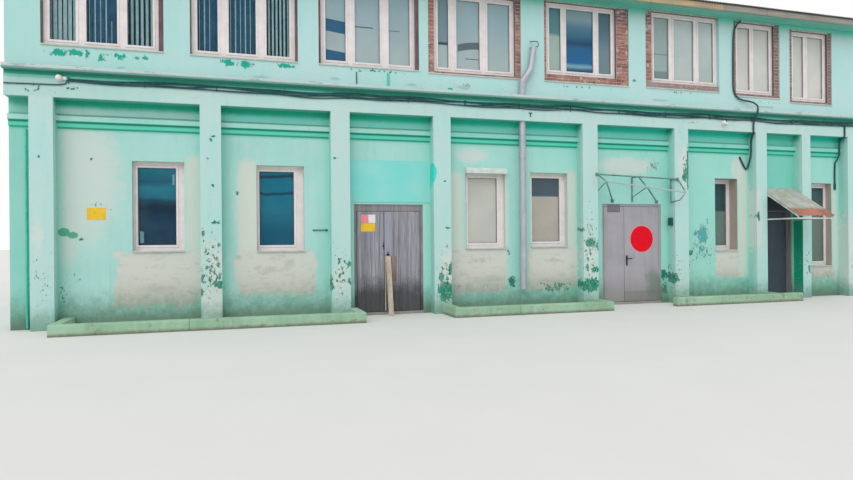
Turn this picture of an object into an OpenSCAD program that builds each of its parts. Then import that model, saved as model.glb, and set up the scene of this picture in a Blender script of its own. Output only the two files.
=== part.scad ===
// Two-storey factory building: pilastered ground floor, ledge, windowed upper floor and a low gable roof.
// Millimetres. The facade faces -Y, X runs to the right along it, and the flat base lies at z = 0.
// Places along the facade are given from the left edge of the first pilaster, or from a bay's own left edge.

/* [Plan] */
// Distance between the outer faces of the front and back bay walls
building_d = 9000; // [7500:100:12000]
// Bare wall strip left of the first pilaster
left_strip_w = 350; // [200:10:600]
// Clear width of the first bay
bay_1_w = 2255; // [2150:5:2500]
// Clear width of the second bay
bay_2_w = 1915; // [1800:5:2200]
// Clear width of the third bay, with the wooden door
bay_3_w = 1620; // [1560:5:1900]
// Clear width of the fourth bay, with two windows
bay_4_w = 2885; // [2780:5:3100]
// Clear width of the fifth bay, with the steel door
bay_5_w = 1900; // [1800:5:2200]
// Clear width of the sixth bay
bay_6_w = 1840; // [1740:5:2100]
// Clear width of the seventh bay, with the side door
bay_7_w = 1020; // [1000:5:1200]
// Clear width of the eighth bay
bay_8_w = 1140; // [1040:5:1400]
// Width of a common pilaster
pilaster_w = 350; // [300:5:400]
// Width of the seventh pilaster
pilaster_7_w = 300; // [260:5:360]
// Width of the eighth pilaster
pilaster_8_w = 250; // [230:5:320]
// How far the pilasters stand out from the bay walls
pilaster_out = 250; // [200:5:320]

/* [Walls and floors] */
// Thickness of the bay walls and the end walls
wall_t = 380; // [300:10:510]
// Thickness of the ground floor, also the height of the thresholds
ground_floor_t = 50; // [40:5:60]
// Height of the upper floor's top
upper_floor_z = 3900; // [3880:10:4000]
// Thickness of the upper floor
upper_floor_t = 220; // [160:10:260]
// Thickness of the ceiling boards
ceiling_t = 60; // [40:5:70]
// Height of the pilasters, which is the underside of the beam
beam_z = 3800; // [3740:10:3840]
// Height of the beam
beam_h = 410; // [390:10:450]
// Thickness of the ledge on top of the beam
ledge_t = 90; // [60:5:110]
// How far the ledge stands out from the beam
ledge_out = 120; // [80:5:160]
// How far the upper wall stands back from the beam's face
upper_setback = 60; // [30:5:90]
// Top of the walls
wall_top_z = 6400; // [6380:10:6440]
// Top of the moulding in the bays
moulding_z = 3550; // [3450:10:3600]
// Height of the whole moulding
moulding_h = 200; // [160:5:240]
// How far the upper step of the moulding stands out
moulding_out = 70; // [45:5:90]
// How far its lower step stands out
moulding_step_out = 35; // [20:5:40]

/* [Roof] */
// Slope of the roof in degrees
roof_pitch = 15; // [10:1:20]
// How far the eaves stand out from the upper wall
eaves_out = 400; // [300:10:500]
// Height of the eaves, at the fascia's outer top edge
eaves_z = 6460; // [6450:5:6520]
// Thickness of the roof covering, measured upright
roof_t = 45; // [30:5:60]
// How far the roof stands past the end walls
verge_out = 150; // [100:10:250]
// How far the roof sheets stand past the fascia
sheet_lip = 50; // [30:5:80]
// Height of the fascia at its outer face
fascia_h = 130; // [110:5:160]
// Thickness of the fascia and the verge boards
fascia_t = 25; // [20:1:40]
// Thickness of the soffit boards
soffit_t = 18; // [12:1:25]
// Reach of the ridge cap down each slope
ridge_cap_w = 240; // [180:10:320]
// Thickness of the ridge cap
ridge_cap_t = 12; // [6:1:20]

/* [Windows] */
// Width of an upper frame's upright outer bars
frame_side = 100; // [50:5:110]
// Height of a frame's top and bottom bars
frame_rail = 100; // [70:5:110]
// Width of the bars between two lights at the back
mullion_w = 140; // [100:5:170]
// Depth of the window frames
frame_d = 70; // [60:5:90]
// Thickness of the panes
glass_t = 24; // [12:1:30]
// How far the back's ground floor frames stand back in the wall
ground_reveal = 130; // [80:5:250]
// How far the upper frames stand back in the wall
upper_reveal = 90; // [60:5:140]
// Thickness of the sill plates
sill_t = 22; // [12:1:30]
// How far the ground floor sills stand out
ground_sill_out = 35; // [15:5:60]
// How far the upper sills stand out
upper_sill_out = 20; // [10:5:40]
// How far the brick beside the upper frames stands back
brick_setback = 25; // [10:5:45]
// Depth of the brick beside the upper frames
brick_d = 250; // [180:10:280]
// Width of the hood over the first window of the fourth bay
hood_w = 870; // [860:10:950]
// Height of that hood
hood_h = 120; // [90:5:150]
// How far that hood stands out
hood_out = 110; // [80:5:150]

/* [Doors] */
// Width of the wooden door's opening
wood_door_w = 1360; // [1300:10:1420]
// Height of the wooden door's opening
wood_door_h = 2110; // [2050:10:2140]
// Clear width of the wooden door's narrow left leaf
wood_left_leaf_w = 525; // [450:5:600]
// Height of the head board over the wooden leaves
wood_head_h = 130; // [90:5:160]
// Width of the steel door's opening
steel_door_w = 1480; // [1400:10:1560]
// Height of the steel door's opening
steel_door_h = 2160; // [2100:10:2180]
// Clear width of the steel door's narrow side leaf
steel_side_leaf_w = 490; // [420:5:560]
// Width of the side door's opening
side_door_w = 860; // [840:5:890]
// Height of the side door's opening, with the board over it
side_door_h = 2360; // [2300:10:2400]
// Height of the side door's leaf
side_leaf_h = 2000; // [1950:10:2060]
// Width of the wooden and steel frames' posts
jamb_w = 50; // [45:1:60]
// Width of the side door's left post
side_jamb_w = 60; // [50:5:80]
// Width of the side door's wide right post
side_wide_jamb_w = 130; // [110:5:140]
// Depth of the door frames
door_frame_d = 100; // [90:5:120]
// Thickness of the door leaves
leaf_t = 45; // [38:1:50]
// Running gap round a door leaf
leaf_gap = 8; // [6:1:10]
// Radius of the hinge barrels
barrel_r = 9; // [8:0.5:11]
// Height of one hinge barrel
barrel_h = 70; // [60:5:80]

/* [Fittings] */
// Diameter of the bars of the bare canopy frame
canopy_bar_d = 30; // [24:1:36]
// Reach of the bare canopy frame
canopy_out = 550; // [480:10:620]
// Height of its wall bar at the left
canopy_wall_z = 2756; // [2740:2:2780]
// Fall of its wall bar to the right
canopy_wall_fall = 66; // [50:2:80]
// Height of its front bar at the left
canopy_front_z = 2585; // [2560:5:2610]
// Fall of its front bar to the right
canopy_front_fall = 200; // [160:10:220]
// Reach of the side door's canopy
side_canopy_out = 1100; // [1000:10:1150]
// Height of that canopy at the wall
side_canopy_z = 2560; // [2520:10:2620]
// Height of its front edge
side_canopy_front_z = 1870; // [1850:10:1900]
// Thickness of its sheet
side_canopy_t = 6; // [3:1:10]
// Side of the square bars that carry it
side_canopy_bar = 30; // [25:1:40]
// Diameter of the downpipe
pipe_d = 130; // [110:5:150]
// Gap between the downpipe and the moulding behind it
pipe_gap = 12; // [8:1:20]
// Height of the planter kerbs
kerb_h = 180; // [140:5:200]
// Width of the planter kerbs
kerb_w = 150; // [120:5:170]
// Bevel along the top front edge of the kerbs
kerb_bevel = 20; // [10:1:30]
// Joint between two kerb stones
kerb_joint = 6; // [4:1:12]
// Diameter of the cables clipped under the ledge
cable_d = 32; // [20:1:34]

/* [Hidden] */
$fn = 32;

bay_widths = [bay_1_w, bay_2_w, bay_3_w, bay_4_w, bay_5_w, bay_6_w, bay_7_w, bay_8_w];
pilaster_widths = [
    pilaster_w, pilaster_w, pilaster_w, pilaster_w, pilaster_w, pilaster_w,
    pilaster_7_w, pilaster_8_w, pilaster_w
];
bay_count = len(bay_widths);
pilaster_count = len(pilaster_widths);
function total(list, n) = n <= 0 ? 0 : list[n - 1] + total(list, n - 1);
building_l = left_strip_w + total(bay_widths, bay_count) + total(pilaster_widths, pilaster_count);

// Left edge of pilaster i and of bay i, both counted from 0
function pilaster_x(i) = left_strip_w - building_l / 2 + total(pilaster_widths, i) + total(bay_widths, i);
function bay_x(i) = pilaster_x(i) + pilaster_widths[i];
left_x = -building_l / 2;
right_x = building_l / 2;

// Faces along Y, front to back
bay_y = -building_d / 2;
front_y = bay_y - pilaster_out;
upper_y = front_y + upper_setback;
inner_y = bay_y + wall_t;
eaves_y = upper_y - eaves_out;

ledge_z = beam_z + beam_h;
soffit_z = eaves_z - fascia_h + 15;
cut = 10;
// Gap left between sloping faces that rest on each other
seat = 0.3;

// Ground floor windows: bay, place in the bay, width, sill, head,
// how far the frame stands back, then the light's place in the frame and its width
ground_windows = [
    [0, 1140, 840, 1270, 2820, 130, 75, 620],
    [1, 600, 850, 1250, 2800, 130, 55, 620],
    [3, 385, 860, 1250, 2760, 90, 85, 625],
    [3, 1810, 850, 1270, 2790, 130, 90, 635],
    [5, 915, 620, 1140, 2760, 250, 90, 430],
    [7, 300, 610, 730, 2700, 160, 90, 440]
];
// Windows of the back bays: bay, width; all are centred in their bays
back_windows = [[0, 850], [1, 850], [2, 850], [3, 850], [4, 850], [5, 850], [6, 600], [7, 600]];
back_sill_z = 1270;
back_head_z = 2820;
// Upper openings: pilaster, place from its left edge, width, sill, head,
// then the frame in the opening: place, width, underside, top, widths of its lights
upper_windows = [
    [0, 165, 1865, 4680, 6250, 20, 1765, 4680, 6250, [380, 465, 395]],
    [1, -150, 1840, 4670, 6250, 20, 1775, 4670, 6250, [335, 460, 400]],
    [2, -200, 1915, 4670, 6250, 40, 1810, 4670, 6250, [370, 475, 410]],
    [3, -70, 1955, 4650, 6250, 125, 1715, 4690, 6235, [210, 485, 475]],
    [4, -830, 1990, 4655, 6305, 55, 1645, 4800, 6285, [260, 630, 290]],
    [5, -670, 1915, 4670, 6340, 165, 1750, 4790, 6320, [375, 510, 385]],
    [6, -545, 1295, 4620, 6315, 70, 1090, 4680, 6290, [340, 440]],
    [7, -280, 1265, 4550, 6260, 85, 1080, 4600, 6230, [300, 455]]
];
bricked = [for (w = upper_windows) if (w[6] < w[2]) w];

// Doorways: left edge, width, height
wood_x = bay_x(2) + 110;
steel_x = bay_x(4) + 245;
side_x = bay_x(6) + 105;
doorways = [
    [wood_x, wood_door_w, wood_door_h],
    [steel_x, steel_door_w, steel_door_h],
    [side_x, side_door_w, side_door_h]
];

// Box given by its two ends along each axis
module block(x, y, z) {
    translate([x[0], y[0], z[0]]) cube([x[1] - x[0], y[1] - y[0], z[1] - z[0]]);
}

// Outline in the Y-Z plane, drawn out along X
module along_x(x, outline) {
    translate([x[0], 0, 0]) rotate([90, 0, 90]) linear_extrude(x[1] - x[0]) polygon(outline);
}

// A shape and its mirror image on the back
module front_and_back() {
    children();
    mirror([0, 1, 0]) children();
}

// Height of the roof's underside at the distance y from the ridge
function roof_z(y) = eaves_z + (-eaves_y - y) * tan(roof_pitch);

// Top of a piece that carries the roof at the distance y from the ridge
function rafter_z(y) = roof_z(y) - seat;

// Walls and floors

module ground_floor() {
    color("#9a9a92") {
        block([left_x + wall_t, right_x - wall_t], [inner_y, -inner_y], [0, ground_floor_t]);
        for (d = doorways) block([d[0], d[0] + d[1]], [bay_y, inner_y + cut], [0, ground_floor_t]);
    }
}

module upper_floor() {
    color("#8c8a84") block([left_x + wall_t, right_x - wall_t], [inner_y, -inner_y],
        [upper_floor_z - upper_floor_t, upper_floor_z]);
}

module ceiling() {
    color("#d8d6cc") block([left_x + wall_t, right_x - wall_t], [inner_y, -inner_y],
        [wall_top_z - ceiling_t, wall_top_z]);
}

function ground_x(w) = bay_x(w[0]) + w[1];

module ground_window_holes() {
    for (w = ground_windows)
        block([ground_x(w), ground_x(w) + w[2]], [bay_y - cut, inner_y + cut], [w[3] - sill_t, w[4]]);
}

// The wall behind the pilasters, in the stretches between the doorways
module front_wall() {
    starts = [left_x, for (d = doorways) d[0] + d[1]];
    ends = [for (d = doorways) d[0], right_x];
    color("#a9d9d0") difference() {
        for (i = [0 : len(starts) - 1]) block([starts[i], ends[i]], [bay_y, inner_y], [0, beam_z]);
        ground_window_holes();
    }
}

module door_head_walls() {
    color("#a9d9d0") for (d = doorways) block([d[0], d[0] + d[1]], [bay_y, inner_y], [d[2], beam_z]);
}

function back_window_x(w) = bay_x(w[0]) + (bay_widths[w[0]] - w[1]) / 2;

module back_wall() {
    color("#a9d9d0") difference() {
        block([left_x, right_x], [-inner_y, -bay_y], [0, beam_z]);
        for (w = back_windows) block([back_window_x(w), back_window_x(w) + w[1]],
            [-inner_y - cut, -bay_y + cut], [back_sill_z - sill_t, back_head_z]);
    }
}

gable = [
    [inner_y, 0], [-inner_y, 0], [-inner_y, wall_top_z], [-upper_y, wall_top_z],
    [-upper_y, rafter_z(-upper_y)], [0, rafter_z(0)], [upper_y, rafter_z(-upper_y)],
    [upper_y, wall_top_z], [inner_y, wall_top_z]
];

module left_end_wall() {
    color("#a3d4cb") along_x([left_x, left_x + wall_t], gable);
}

module right_end_wall() {
    color("#a3d4cb") along_x([right_x - wall_t, right_x], gable);
}

module pilasters() {
    color("#b3dcd5") front_and_back() for (i = [0 : pilaster_count - 1])
        block([pilaster_x(i), pilaster_x(i) + pilaster_widths[i]], [front_y, bay_y], [0, beam_z]);
}

module facade_beams() {
    color("#b3dcd5") front_and_back() block([left_x, right_x], [front_y, inner_y], [beam_z, ledge_z]);
}

ledge_fall = 10;

module ledges() {
    outline = [
        [front_y - ledge_out, ledge_z], [upper_y, ledge_z],
        [upper_y, ledge_z + ledge_t], [front_y - ledge_out, ledge_z + ledge_t - ledge_fall]
    ];
    color("#bcc8c4") front_and_back() along_x([left_x, right_x], outline);
}

// Two-step moulding across every bay and across the strip at the left corner
module bay_mouldings() {
    low = moulding_z - moulding_h;
    step = moulding_z - moulding_h * 0.55;
    outline = [
        [bay_y, low], [bay_y - moulding_step_out, low], [bay_y - moulding_step_out, step],
        [bay_y - moulding_out, step], [bay_y - moulding_out, moulding_z - 15], [bay_y, moulding_z]
    ];
    color("#8fd6c6") front_and_back() {
        along_x([left_x, pilaster_x(0)], outline);
        for (i = [0 : bay_count - 1]) along_x([bay_x(i), bay_x(i) + bay_widths[i]], outline);
    }
}

function upper_x(w) = pilaster_x(w[0]) + w[1];

module upper_wall() {
    difference() {
        block([left_x, right_x], [upper_y, inner_y], [ledge_z, wall_top_z]);
        for (w = upper_windows) block([upper_x(w), upper_x(w) + w[2]],
            [upper_y - cut, inner_y + cut], [w[3] - sill_t, w[4]]);
    }
}

module upper_front_wall() {
    color("#9fdccf") upper_wall();
}

module upper_back_wall() {
    color("#9fdccf") mirror([0, 1, 0]) upper_wall();
}

// Roof

roof_ends = [left_x - verge_out, right_x + verge_out];

module roof_slope() {
    low_y = eaves_y - sheet_lip;
    along_x(roof_ends, [
        [low_y, roof_z(-low_y)], [0, roof_z(0)], [0, roof_z(0) + roof_t], [low_y, roof_z(-low_y) + roof_t]
    ]);
}

module front_roof() {
    color("#8d9494") roof_slope();
}

module back_roof() {
    color("#8d9494") mirror([0, 1, 0]) roof_slope();
}

module ridge_cap() {
    low = roof_z(ridge_cap_w) + roof_t + seat;
    top = roof_z(0) + roof_t + seat;
    color("#7c8484") along_x(roof_ends, [
        [-ridge_cap_w, low], [0, top], [ridge_cap_w, low],
        [ridge_cap_w, low + ridge_cap_t], [0, top + ridge_cap_t], [-ridge_cap_w, low + ridge_cap_t]
    ]);
}

module fascias() {
    back_y = eaves_y + fascia_t;
    color("#a8927c") front_and_back() along_x(roof_ends, [
        [eaves_y, eaves_z - fascia_h], [back_y, eaves_z - fascia_h],
        [back_y, rafter_z(-back_y)], [eaves_y, rafter_z(-eaves_y)]
    ]);
}

// Half the joint between the two boards that meet at the ridge
verge_joint = 2;

module verge_boards() {
    end_y = -(eaves_y + fascia_t);
    outline = [
        [-end_y, roof_z(end_y) - fascia_h], [-verge_joint, roof_z(verge_joint) - fascia_h],
        [-verge_joint, rafter_z(verge_joint)], [-end_y, rafter_z(end_y)]
    ];
    color("#a8927c") front_and_back() {
        along_x([roof_ends[0], roof_ends[0] + fascia_t], outline);
        along_x([roof_ends[1] - fascia_t, roof_ends[1]], outline);
    }
}

module soffits() {
    color("#8fc9bd") front_and_back() block([roof_ends[0] + fascia_t, roof_ends[1] - fascia_t],
        [eaves_y + fascia_t, upper_y], [soffit_z, soffit_z + soffit_t]);
}

// Windows. A light is its place from the frame's left edge and its width.

function spread_lights(w, widths) =
    let (n = len(widths), bar_w = (w - 2 * frame_side - total(widths, n)) / max(n - 1, 1))
    [for (i = [0 : n - 1]) [frame_side + total(widths, i) + i * bar_w, widths[i]]];

function even_lights(w, n) =
    let (light_w = (w - 2 * frame_side - (n - 1) * mullion_w) / n)
    [for (i = [0 : n - 1]) [frame_side + i * (light_w + mullion_w), light_w]];

module window_lights(place, h, lights, depth) {
    for (light = lights) translate(place + [light[0], 0, frame_rail])
        cube([light[1], depth, h - 2 * frame_rail]);
}

module window_frame(place, w, h, lights) {
    difference() {
        translate(place) cube([w, frame_d, h]);
        window_lights(place - [0, cut, 0], h, lights, frame_d + 2 * cut);
    }
}

module window_panes(place, h, lights) {
    window_lights(place + [0, (frame_d - glass_t) / 2, 0], h, lights, glass_t);
}

ground_frame_y = bay_y + ground_reveal;
upper_frame_y = upper_y + upper_reveal;

module front_ground_frames() {
    color("#e2d8d8") for (w = ground_windows)
        window_frame([ground_x(w), bay_y + w[5], w[3]], w[2], w[4] - w[3], [[w[6], w[7]]]);
}

module front_ground_panes() {
    color("#1f4f6a") for (w = ground_windows)
        window_panes([ground_x(w), bay_y + w[5], w[3]], w[4] - w[3], [[w[6], w[7]]]);
}

module front_upper_frames() {
    color("#e2d8d8") for (w = upper_windows)
        window_frame([upper_x(w) + w[5], upper_frame_y, w[7]], w[6], w[8] - w[7], spread_lights(w[6], w[9]));
}

module front_upper_panes() {
    color("#56707a") for (w = upper_windows)
        window_panes([upper_x(w) + w[5], upper_frame_y, w[7]], w[8] - w[7], spread_lights(w[6], w[9]));
}

module back_frames() {
    color("#e2d8d8") mirror([0, 1, 0]) {
        for (w = back_windows) window_frame([back_window_x(w), ground_frame_y, back_sill_z],
            w[1], back_head_z - back_sill_z, even_lights(w[1], 1));
        for (w = upper_windows) window_frame([upper_x(w), upper_frame_y, w[3]],
            w[2], w[4] - w[3], even_lights(w[2], len(w[9])));
    }
}

module back_panes() {
    color("#1f4f6a") mirror([0, 1, 0]) {
        for (w = back_windows) window_panes([back_window_x(w), ground_frame_y, back_sill_z],
            back_head_z - back_sill_z, even_lights(w[1], 1));
        for (w = upper_windows) window_panes([upper_x(w), upper_frame_y, w[3]],
            w[4] - w[3], even_lights(w[2], len(w[9])));
    }
}

module window_sills() {
    color("#c9cfca") {
        for (w = ground_windows) block([ground_x(w), ground_x(w) + w[2]],
            [bay_y - ground_sill_out, inner_y], [w[3] - sill_t, w[3]]);
        mirror([0, 1, 0]) for (w = back_windows) block([back_window_x(w), back_window_x(w) + w[1]],
            [bay_y - ground_sill_out, inner_y], [back_sill_z - sill_t, back_sill_z]);
        front_and_back() for (w = upper_windows) block([upper_x(w), upper_x(w) + w[2]],
            [upper_y - upper_sill_out, inner_y], [w[3] - sill_t, w[3]]);
    }
}

// Bare brick that narrows some upper openings to their newer frames
module brick_infill() {
    near = upper_y + brick_setback;
    color("#7d4636") for (w = bricked) difference() {
        block([upper_x(w), upper_x(w) + w[2]], [near, near + brick_d], [w[3], w[4]]);
        block([upper_x(w) + w[5], upper_x(w) + w[5] + w[6]], [near - cut, near + brick_d + cut],
            [w[7], w[8]]);
    }
}

module window_hood() {
    w = ground_windows[2];
    middle = ground_x(w) + w[2] / 2;
    low = w[4] - 20;
    color("#d8dcda") along_x([middle - hood_w / 2, middle + hood_w / 2], [
        [bay_y, low], [bay_y - hood_out, low], [bay_y - hood_out, low + hood_h * 0.5],
        [bay_y - hood_out * 0.7, low + hood_h * 0.85], [bay_y, low + hood_h]
    ]);
}

// Doors. A leaf's outer face lies leaf_in behind the bay wall's face.
// Its barrels stand in front of that face, on the line of the gap at its edge.

leaf_in = 22;
leaf_y = bay_y + leaf_in;
frame_face_y = leaf_y + 3;
leaf_low_z = ground_floor_t + leaf_gap;
barrel_play = 0.3;
strap_l = 110;

module barrel(x, y, z) {
    translate([x, y, z]) cylinder(r = barrel_r, h = barrel_h);
}

// Heights of the lower ends of a leaf's barrels
function hinge_heights(leaf_h) = [leaf_low_z + 250, leaf_low_z + leaf_h - 250 - barrel_h];

// Barrels and straps on a leaf. side is 1 where the leaf runs to +X from its hinge, and -1 where it runs
// to -X; face is the Y of the leaf's hinge face, and out is -1 where the barrels stand before it
// and 1 where they stand behind it
module leaf_hinges(x, face, out, side, leaf_h) {
    axis_y = face + out * barrel_r;
    for (z = hinge_heights(leaf_h)) {
        barrel(x, axis_y, z);
        xs = side > 0 ? [x, x + strap_l] : [x - strap_l, x];
        ys = out < 0 ? [face - 5, face] : [face, face + 5];
        block(xs, ys, [z + 15, z + barrel_h - 15]);
    }
}

module post_hinges(x, face, out, side, leaf_h, post_face) {
    axis_y = face + out * barrel_r;
    for (z = hinge_heights(leaf_h)) {
        low = z - barrel_h - barrel_play;
        barrel(x, axis_y, low);
        xs = side > 0 ? [x - 40, x] : [x, x + 40];
        ys = out < 0 ? [face - 5, post_face] : [post_face, face + 5];
        block(xs, ys, [low + 15, low + barrel_h - 15]);
    }
}

wood_leaf_h = wood_door_h - wood_head_h - leaf_gap - leaf_low_z;
wood_left_hinge_x = wood_x + jamb_w + leaf_gap / 2;
wood_right_hinge_x = wood_x + wood_door_w - jamb_w - leaf_gap / 2;
wood_split_x = wood_x + jamb_w + leaf_gap + wood_left_leaf_w;
steel_leaf_h = steel_door_h - jamb_w - leaf_gap - leaf_low_z;
steel_left_hinge_x = steel_x + jamb_w + leaf_gap / 2;
steel_right_hinge_x = steel_x + steel_door_w - jamb_w - leaf_gap / 2;
steel_split_x = steel_x + jamb_w + leaf_gap + steel_side_leaf_w;

module two_leaf_frame(x, w, h, head_h, left_hinge_x, right_hinge_x, leaf_h) {
    block([x, x + jamb_w], [frame_face_y, frame_face_y + door_frame_d], [ground_floor_t, h]);
    block([x + w - jamb_w, x + w], [frame_face_y, frame_face_y + door_frame_d], [ground_floor_t, h]);
    block([x + jamb_w - 1, x + w - jamb_w + 1], [frame_face_y, frame_face_y + door_frame_d],
        [h - head_h, h]);
    post_hinges(left_hinge_x, leaf_y, -1, 1, leaf_h, frame_face_y);
    post_hinges(right_hinge_x, leaf_y, -1, -1, leaf_h, frame_face_y);
}

module wood_door_frame() {
    color("#8b857f") two_leaf_frame(wood_x, wood_door_w, wood_door_h, wood_head_h,
        wood_left_hinge_x, wood_right_hinge_x, wood_leaf_h);
}

module wood_left_leaf() {
    color("#7f7a80") {
        block([wood_left_hinge_x + leaf_gap / 2, wood_split_x], [leaf_y, leaf_y + leaf_t],
            [leaf_low_z, leaf_low_z + wood_leaf_h]);
        leaf_hinges(wood_left_hinge_x, leaf_y, -1, 1, wood_leaf_h);
    }
}

module wood_right_leaf() {
    color("#7f7a80") {
        block([wood_split_x + leaf_gap, wood_right_hinge_x - leaf_gap / 2], [leaf_y, leaf_y + leaf_t],
            [leaf_low_z, leaf_low_z + wood_leaf_h]);
        leaf_hinges(wood_right_hinge_x, leaf_y, -1, -1, wood_leaf_h);
    }
}

// Loose board that leans on the right leaf, its foot just above the ground
prop_w = 95;
prop_t = 28;
prop_top_z = 1120;
prop_foot_z = 4;
prop_lean = 12;
prop_x = wood_split_x + 75;

module prop_board() {
    color("#b9aa98") intersection() {
        translate([prop_x, leaf_y, prop_top_z]) rotate([-prop_lean, 0, 0])
            translate([-prop_w / 2, -prop_t, -prop_top_z * 1.2]) cube([prop_w, prop_t, prop_top_z * 1.2]);
        block([prop_x - 400, prop_x + 400], [bay_y - 1000, leaf_y], [prop_foot_z, prop_top_z + 100]);
    }
}

panel_t = 15;
panel_low_z = wood_door_h + 40;
panel_top_z = panel_low_z + 800;

module transom_panel() {
    color("#3fcfc6") block([bay_x(2), bay_x(2) + bay_widths[2]], [bay_y - panel_t, bay_y],
        [panel_low_z, panel_top_z]);
}

module steel_door_frame() {
    color("#8f8a90") two_leaf_frame(steel_x, steel_door_w, steel_door_h, jamb_w,
        steel_left_hinge_x, steel_right_hinge_x, steel_leaf_h);
}

module steel_side_leaf() {
    color("#a5a0a6") {
        block([steel_left_hinge_x + leaf_gap / 2, steel_split_x], [leaf_y, leaf_y + leaf_t],
            [leaf_low_z, leaf_low_z + steel_leaf_h]);
        leaf_hinges(steel_left_hinge_x, leaf_y, -1, 1, steel_leaf_h);
    }
}

module steel_main_leaf() {
    color("#a5a0a6") {
        block([steel_split_x + leaf_gap, steel_right_hinge_x - leaf_gap / 2], [leaf_y, leaf_y + leaf_t],
            [leaf_low_z, leaf_low_z + steel_leaf_h]);
        leaf_hinges(steel_right_hinge_x, leaf_y, -1, -1, steel_leaf_h);
    }
}

handle_x = steel_split_x + leaf_gap + 60;
handle_z = 830;
handle_l = 220;

module steel_door_handle() {
    color("#2f3a3e") {
        block([handle_x - 20, handle_x + 20], [leaf_y - 6, leaf_y], [handle_z, handle_z + handle_l]);
        translate([handle_x, leaf_y - 5, handle_z + handle_l * 0.7]) rotate([90, 0, 0])
            cylinder(r = 9, h = 45);
        translate([handle_x - 9, leaf_y - 50, handle_z + handle_l * 0.7 - 9]) cube([120, 14, 18]);
    }
}

side_leaf_y = bay_y + 60;
side_leaf_back_y = side_leaf_y + leaf_t;
side_hinge_x = side_x + side_jamb_w + leaf_gap / 2;
side_hinge_leaf_h = side_leaf_h - leaf_low_z;

module side_door_frame() {
    y = [side_leaf_y - 20, side_leaf_back_y - 3];
    color("#5b5350") {
        block([side_x, side_x + side_jamb_w], y, [ground_floor_t, side_door_h]);
        block([side_x + side_door_w - side_wide_jamb_w, side_x + side_door_w], y,
            [ground_floor_t, side_door_h]);
        block([side_x + side_jamb_w - 1, side_x + side_door_w - side_wide_jamb_w + 1], y,
            [side_leaf_h + leaf_gap, side_door_h]);
        post_hinges(side_hinge_x, side_leaf_back_y, 1, 1, side_hinge_leaf_h, side_leaf_back_y - 3);
    }
}

module side_door_leaf() {
    color("#37414a") {
        block([side_hinge_x + leaf_gap / 2, side_x + side_door_w - side_wide_jamb_w - leaf_gap],
            [side_leaf_y, side_leaf_back_y], [leaf_low_z, side_leaf_h]);
        leaf_hinges(side_hinge_x, side_leaf_back_y, 1, 1, side_hinge_leaf_h);
    }
}

// Fittings on the facade

// Round bar from point a to point b
module bar(a, b, d) {
    v = b - a;
    translate(a) rotate([0, acos(v[2] / norm(v)), atan2(v[1], v[0])]) cylinder(d = d, h = norm(v), $fn = 8);
}

// Point in front of the bay wall: distance from the left pilaster's right edge, way out, height
function before_bay(i, x, out, z) = [bay_x(i) + x, bay_y - out, z];

canopy_r = canopy_bar_d / 2;
strut_d = canopy_bar_d * 0.7;
plate_t = 8;
plate_half = 35;
// Centre of a bar that runs along the plates on the pilasters, and of a strut's end at a plate on the wall
plate_bar_out = pilaster_out + plate_t + canopy_r - 2;
strut_end_out = plate_t + canopy_r / 2;
// Bars at the pilasters' plates reach this far past the bay's edges
wall_bar_left = 25;
wall_bar_right = 60;
wall_post_x = 985;
post_low_z = 2200;
side_post_out = 120;
door_plates = [[500, 2222], [bay_5_w - 290, 2212]];

// Square plate on the wall behind the point p, or on the pilasters where on_y says so
module plate(p, on_y) {
    block([p[0] - plate_half, p[0] + plate_half], [on_y - plate_t, on_y],
        [p[2] - plate_half, p[2] + plate_half]);
}

// Bare steel frame of a canopy over the steel door, bent down to the right
module canopy_frame() {
    left = before_bay(4, -wall_bar_left, plate_bar_out, canopy_wall_z);
    right = before_bay(4, bay_5_w + wall_bar_right, plate_bar_out, canopy_wall_z - canopy_wall_fall);
    middle = (left + right) / 2;
    before_side = left + (right - left)
        * (bay_5_w - canopy_r + wall_bar_left) / (bay_5_w + wall_bar_left + wall_bar_right);
    front_left = before_bay(4, 10, canopy_out, canopy_front_z);
    front_right = before_bay(4, bay_5_w + 40, canopy_out, canopy_front_z - canopy_front_fall);
    front_middle = (front_left + front_right) / 2;
    post_top = before_bay(4, wall_post_x, canopy_r, middle[2] + 8);
    post_low = before_bay(4, wall_post_x, canopy_r, post_low_z);
    side_post_top = before_bay(4, bay_5_w - canopy_r, side_post_out, before_side[2]);
    side_post_low = before_bay(4, bay_5_w - canopy_r, side_post_out, post_low_z);
    bent_end = before_bay(4, bay_5_w - 10, canopy_out - 130, post_low_z + 30);
    color("#7fa39f") {
        bar(left, right, canopy_bar_d);
        bar(front_left, front_right, canopy_bar_d);
        bar(left, front_left, canopy_bar_d);
        bar(middle, front_middle, canopy_bar_d);
        bar(right, front_right, canopy_bar_d);
        bar(before_bay(4, canopy_r, 190, canopy_front_z - 185), front_left, strut_d);
        bar(post_top, post_low, canopy_bar_d);
        bar(post_top, middle, canopy_bar_d);
        bar(before_bay(4, wall_post_x, canopy_r, post_low_z + 100), front_middle, strut_d);
        bar(side_post_top, side_post_low, canopy_bar_d);
        bar(side_post_top, before_side, canopy_bar_d);
        bar(side_post_low, bent_end, strut_d);
        bar(bent_end, front_right, strut_d);
        for (i = [0, 1]) {
            end = before_bay(4, door_plates[i][0], strut_end_out, door_plates[i][1]);
            bar([front_left, front_middle][i], end, canopy_bar_d);
            plate(end, bay_y);
        }
        plate(left, front_y);
        plate(right, front_y);
    }
}

canopy_side = 12;

function canopy_z(out) = side_canopy_z + (side_canopy_front_z - side_canopy_z) * out / side_canopy_out;

module side_canopy_sheet() {
    color("#a9a5a0") along_x([bay_x(6) + canopy_side, bay_x(6) + bay_7_w - canopy_side], [
        [bay_y, canopy_z(0) + seat], [bay_y, canopy_z(0) + side_canopy_t],
        [bay_y - side_canopy_out, side_canopy_front_z + side_canopy_t],
        [bay_y - side_canopy_out, side_canopy_front_z + seat]
    ]);
}

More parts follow.
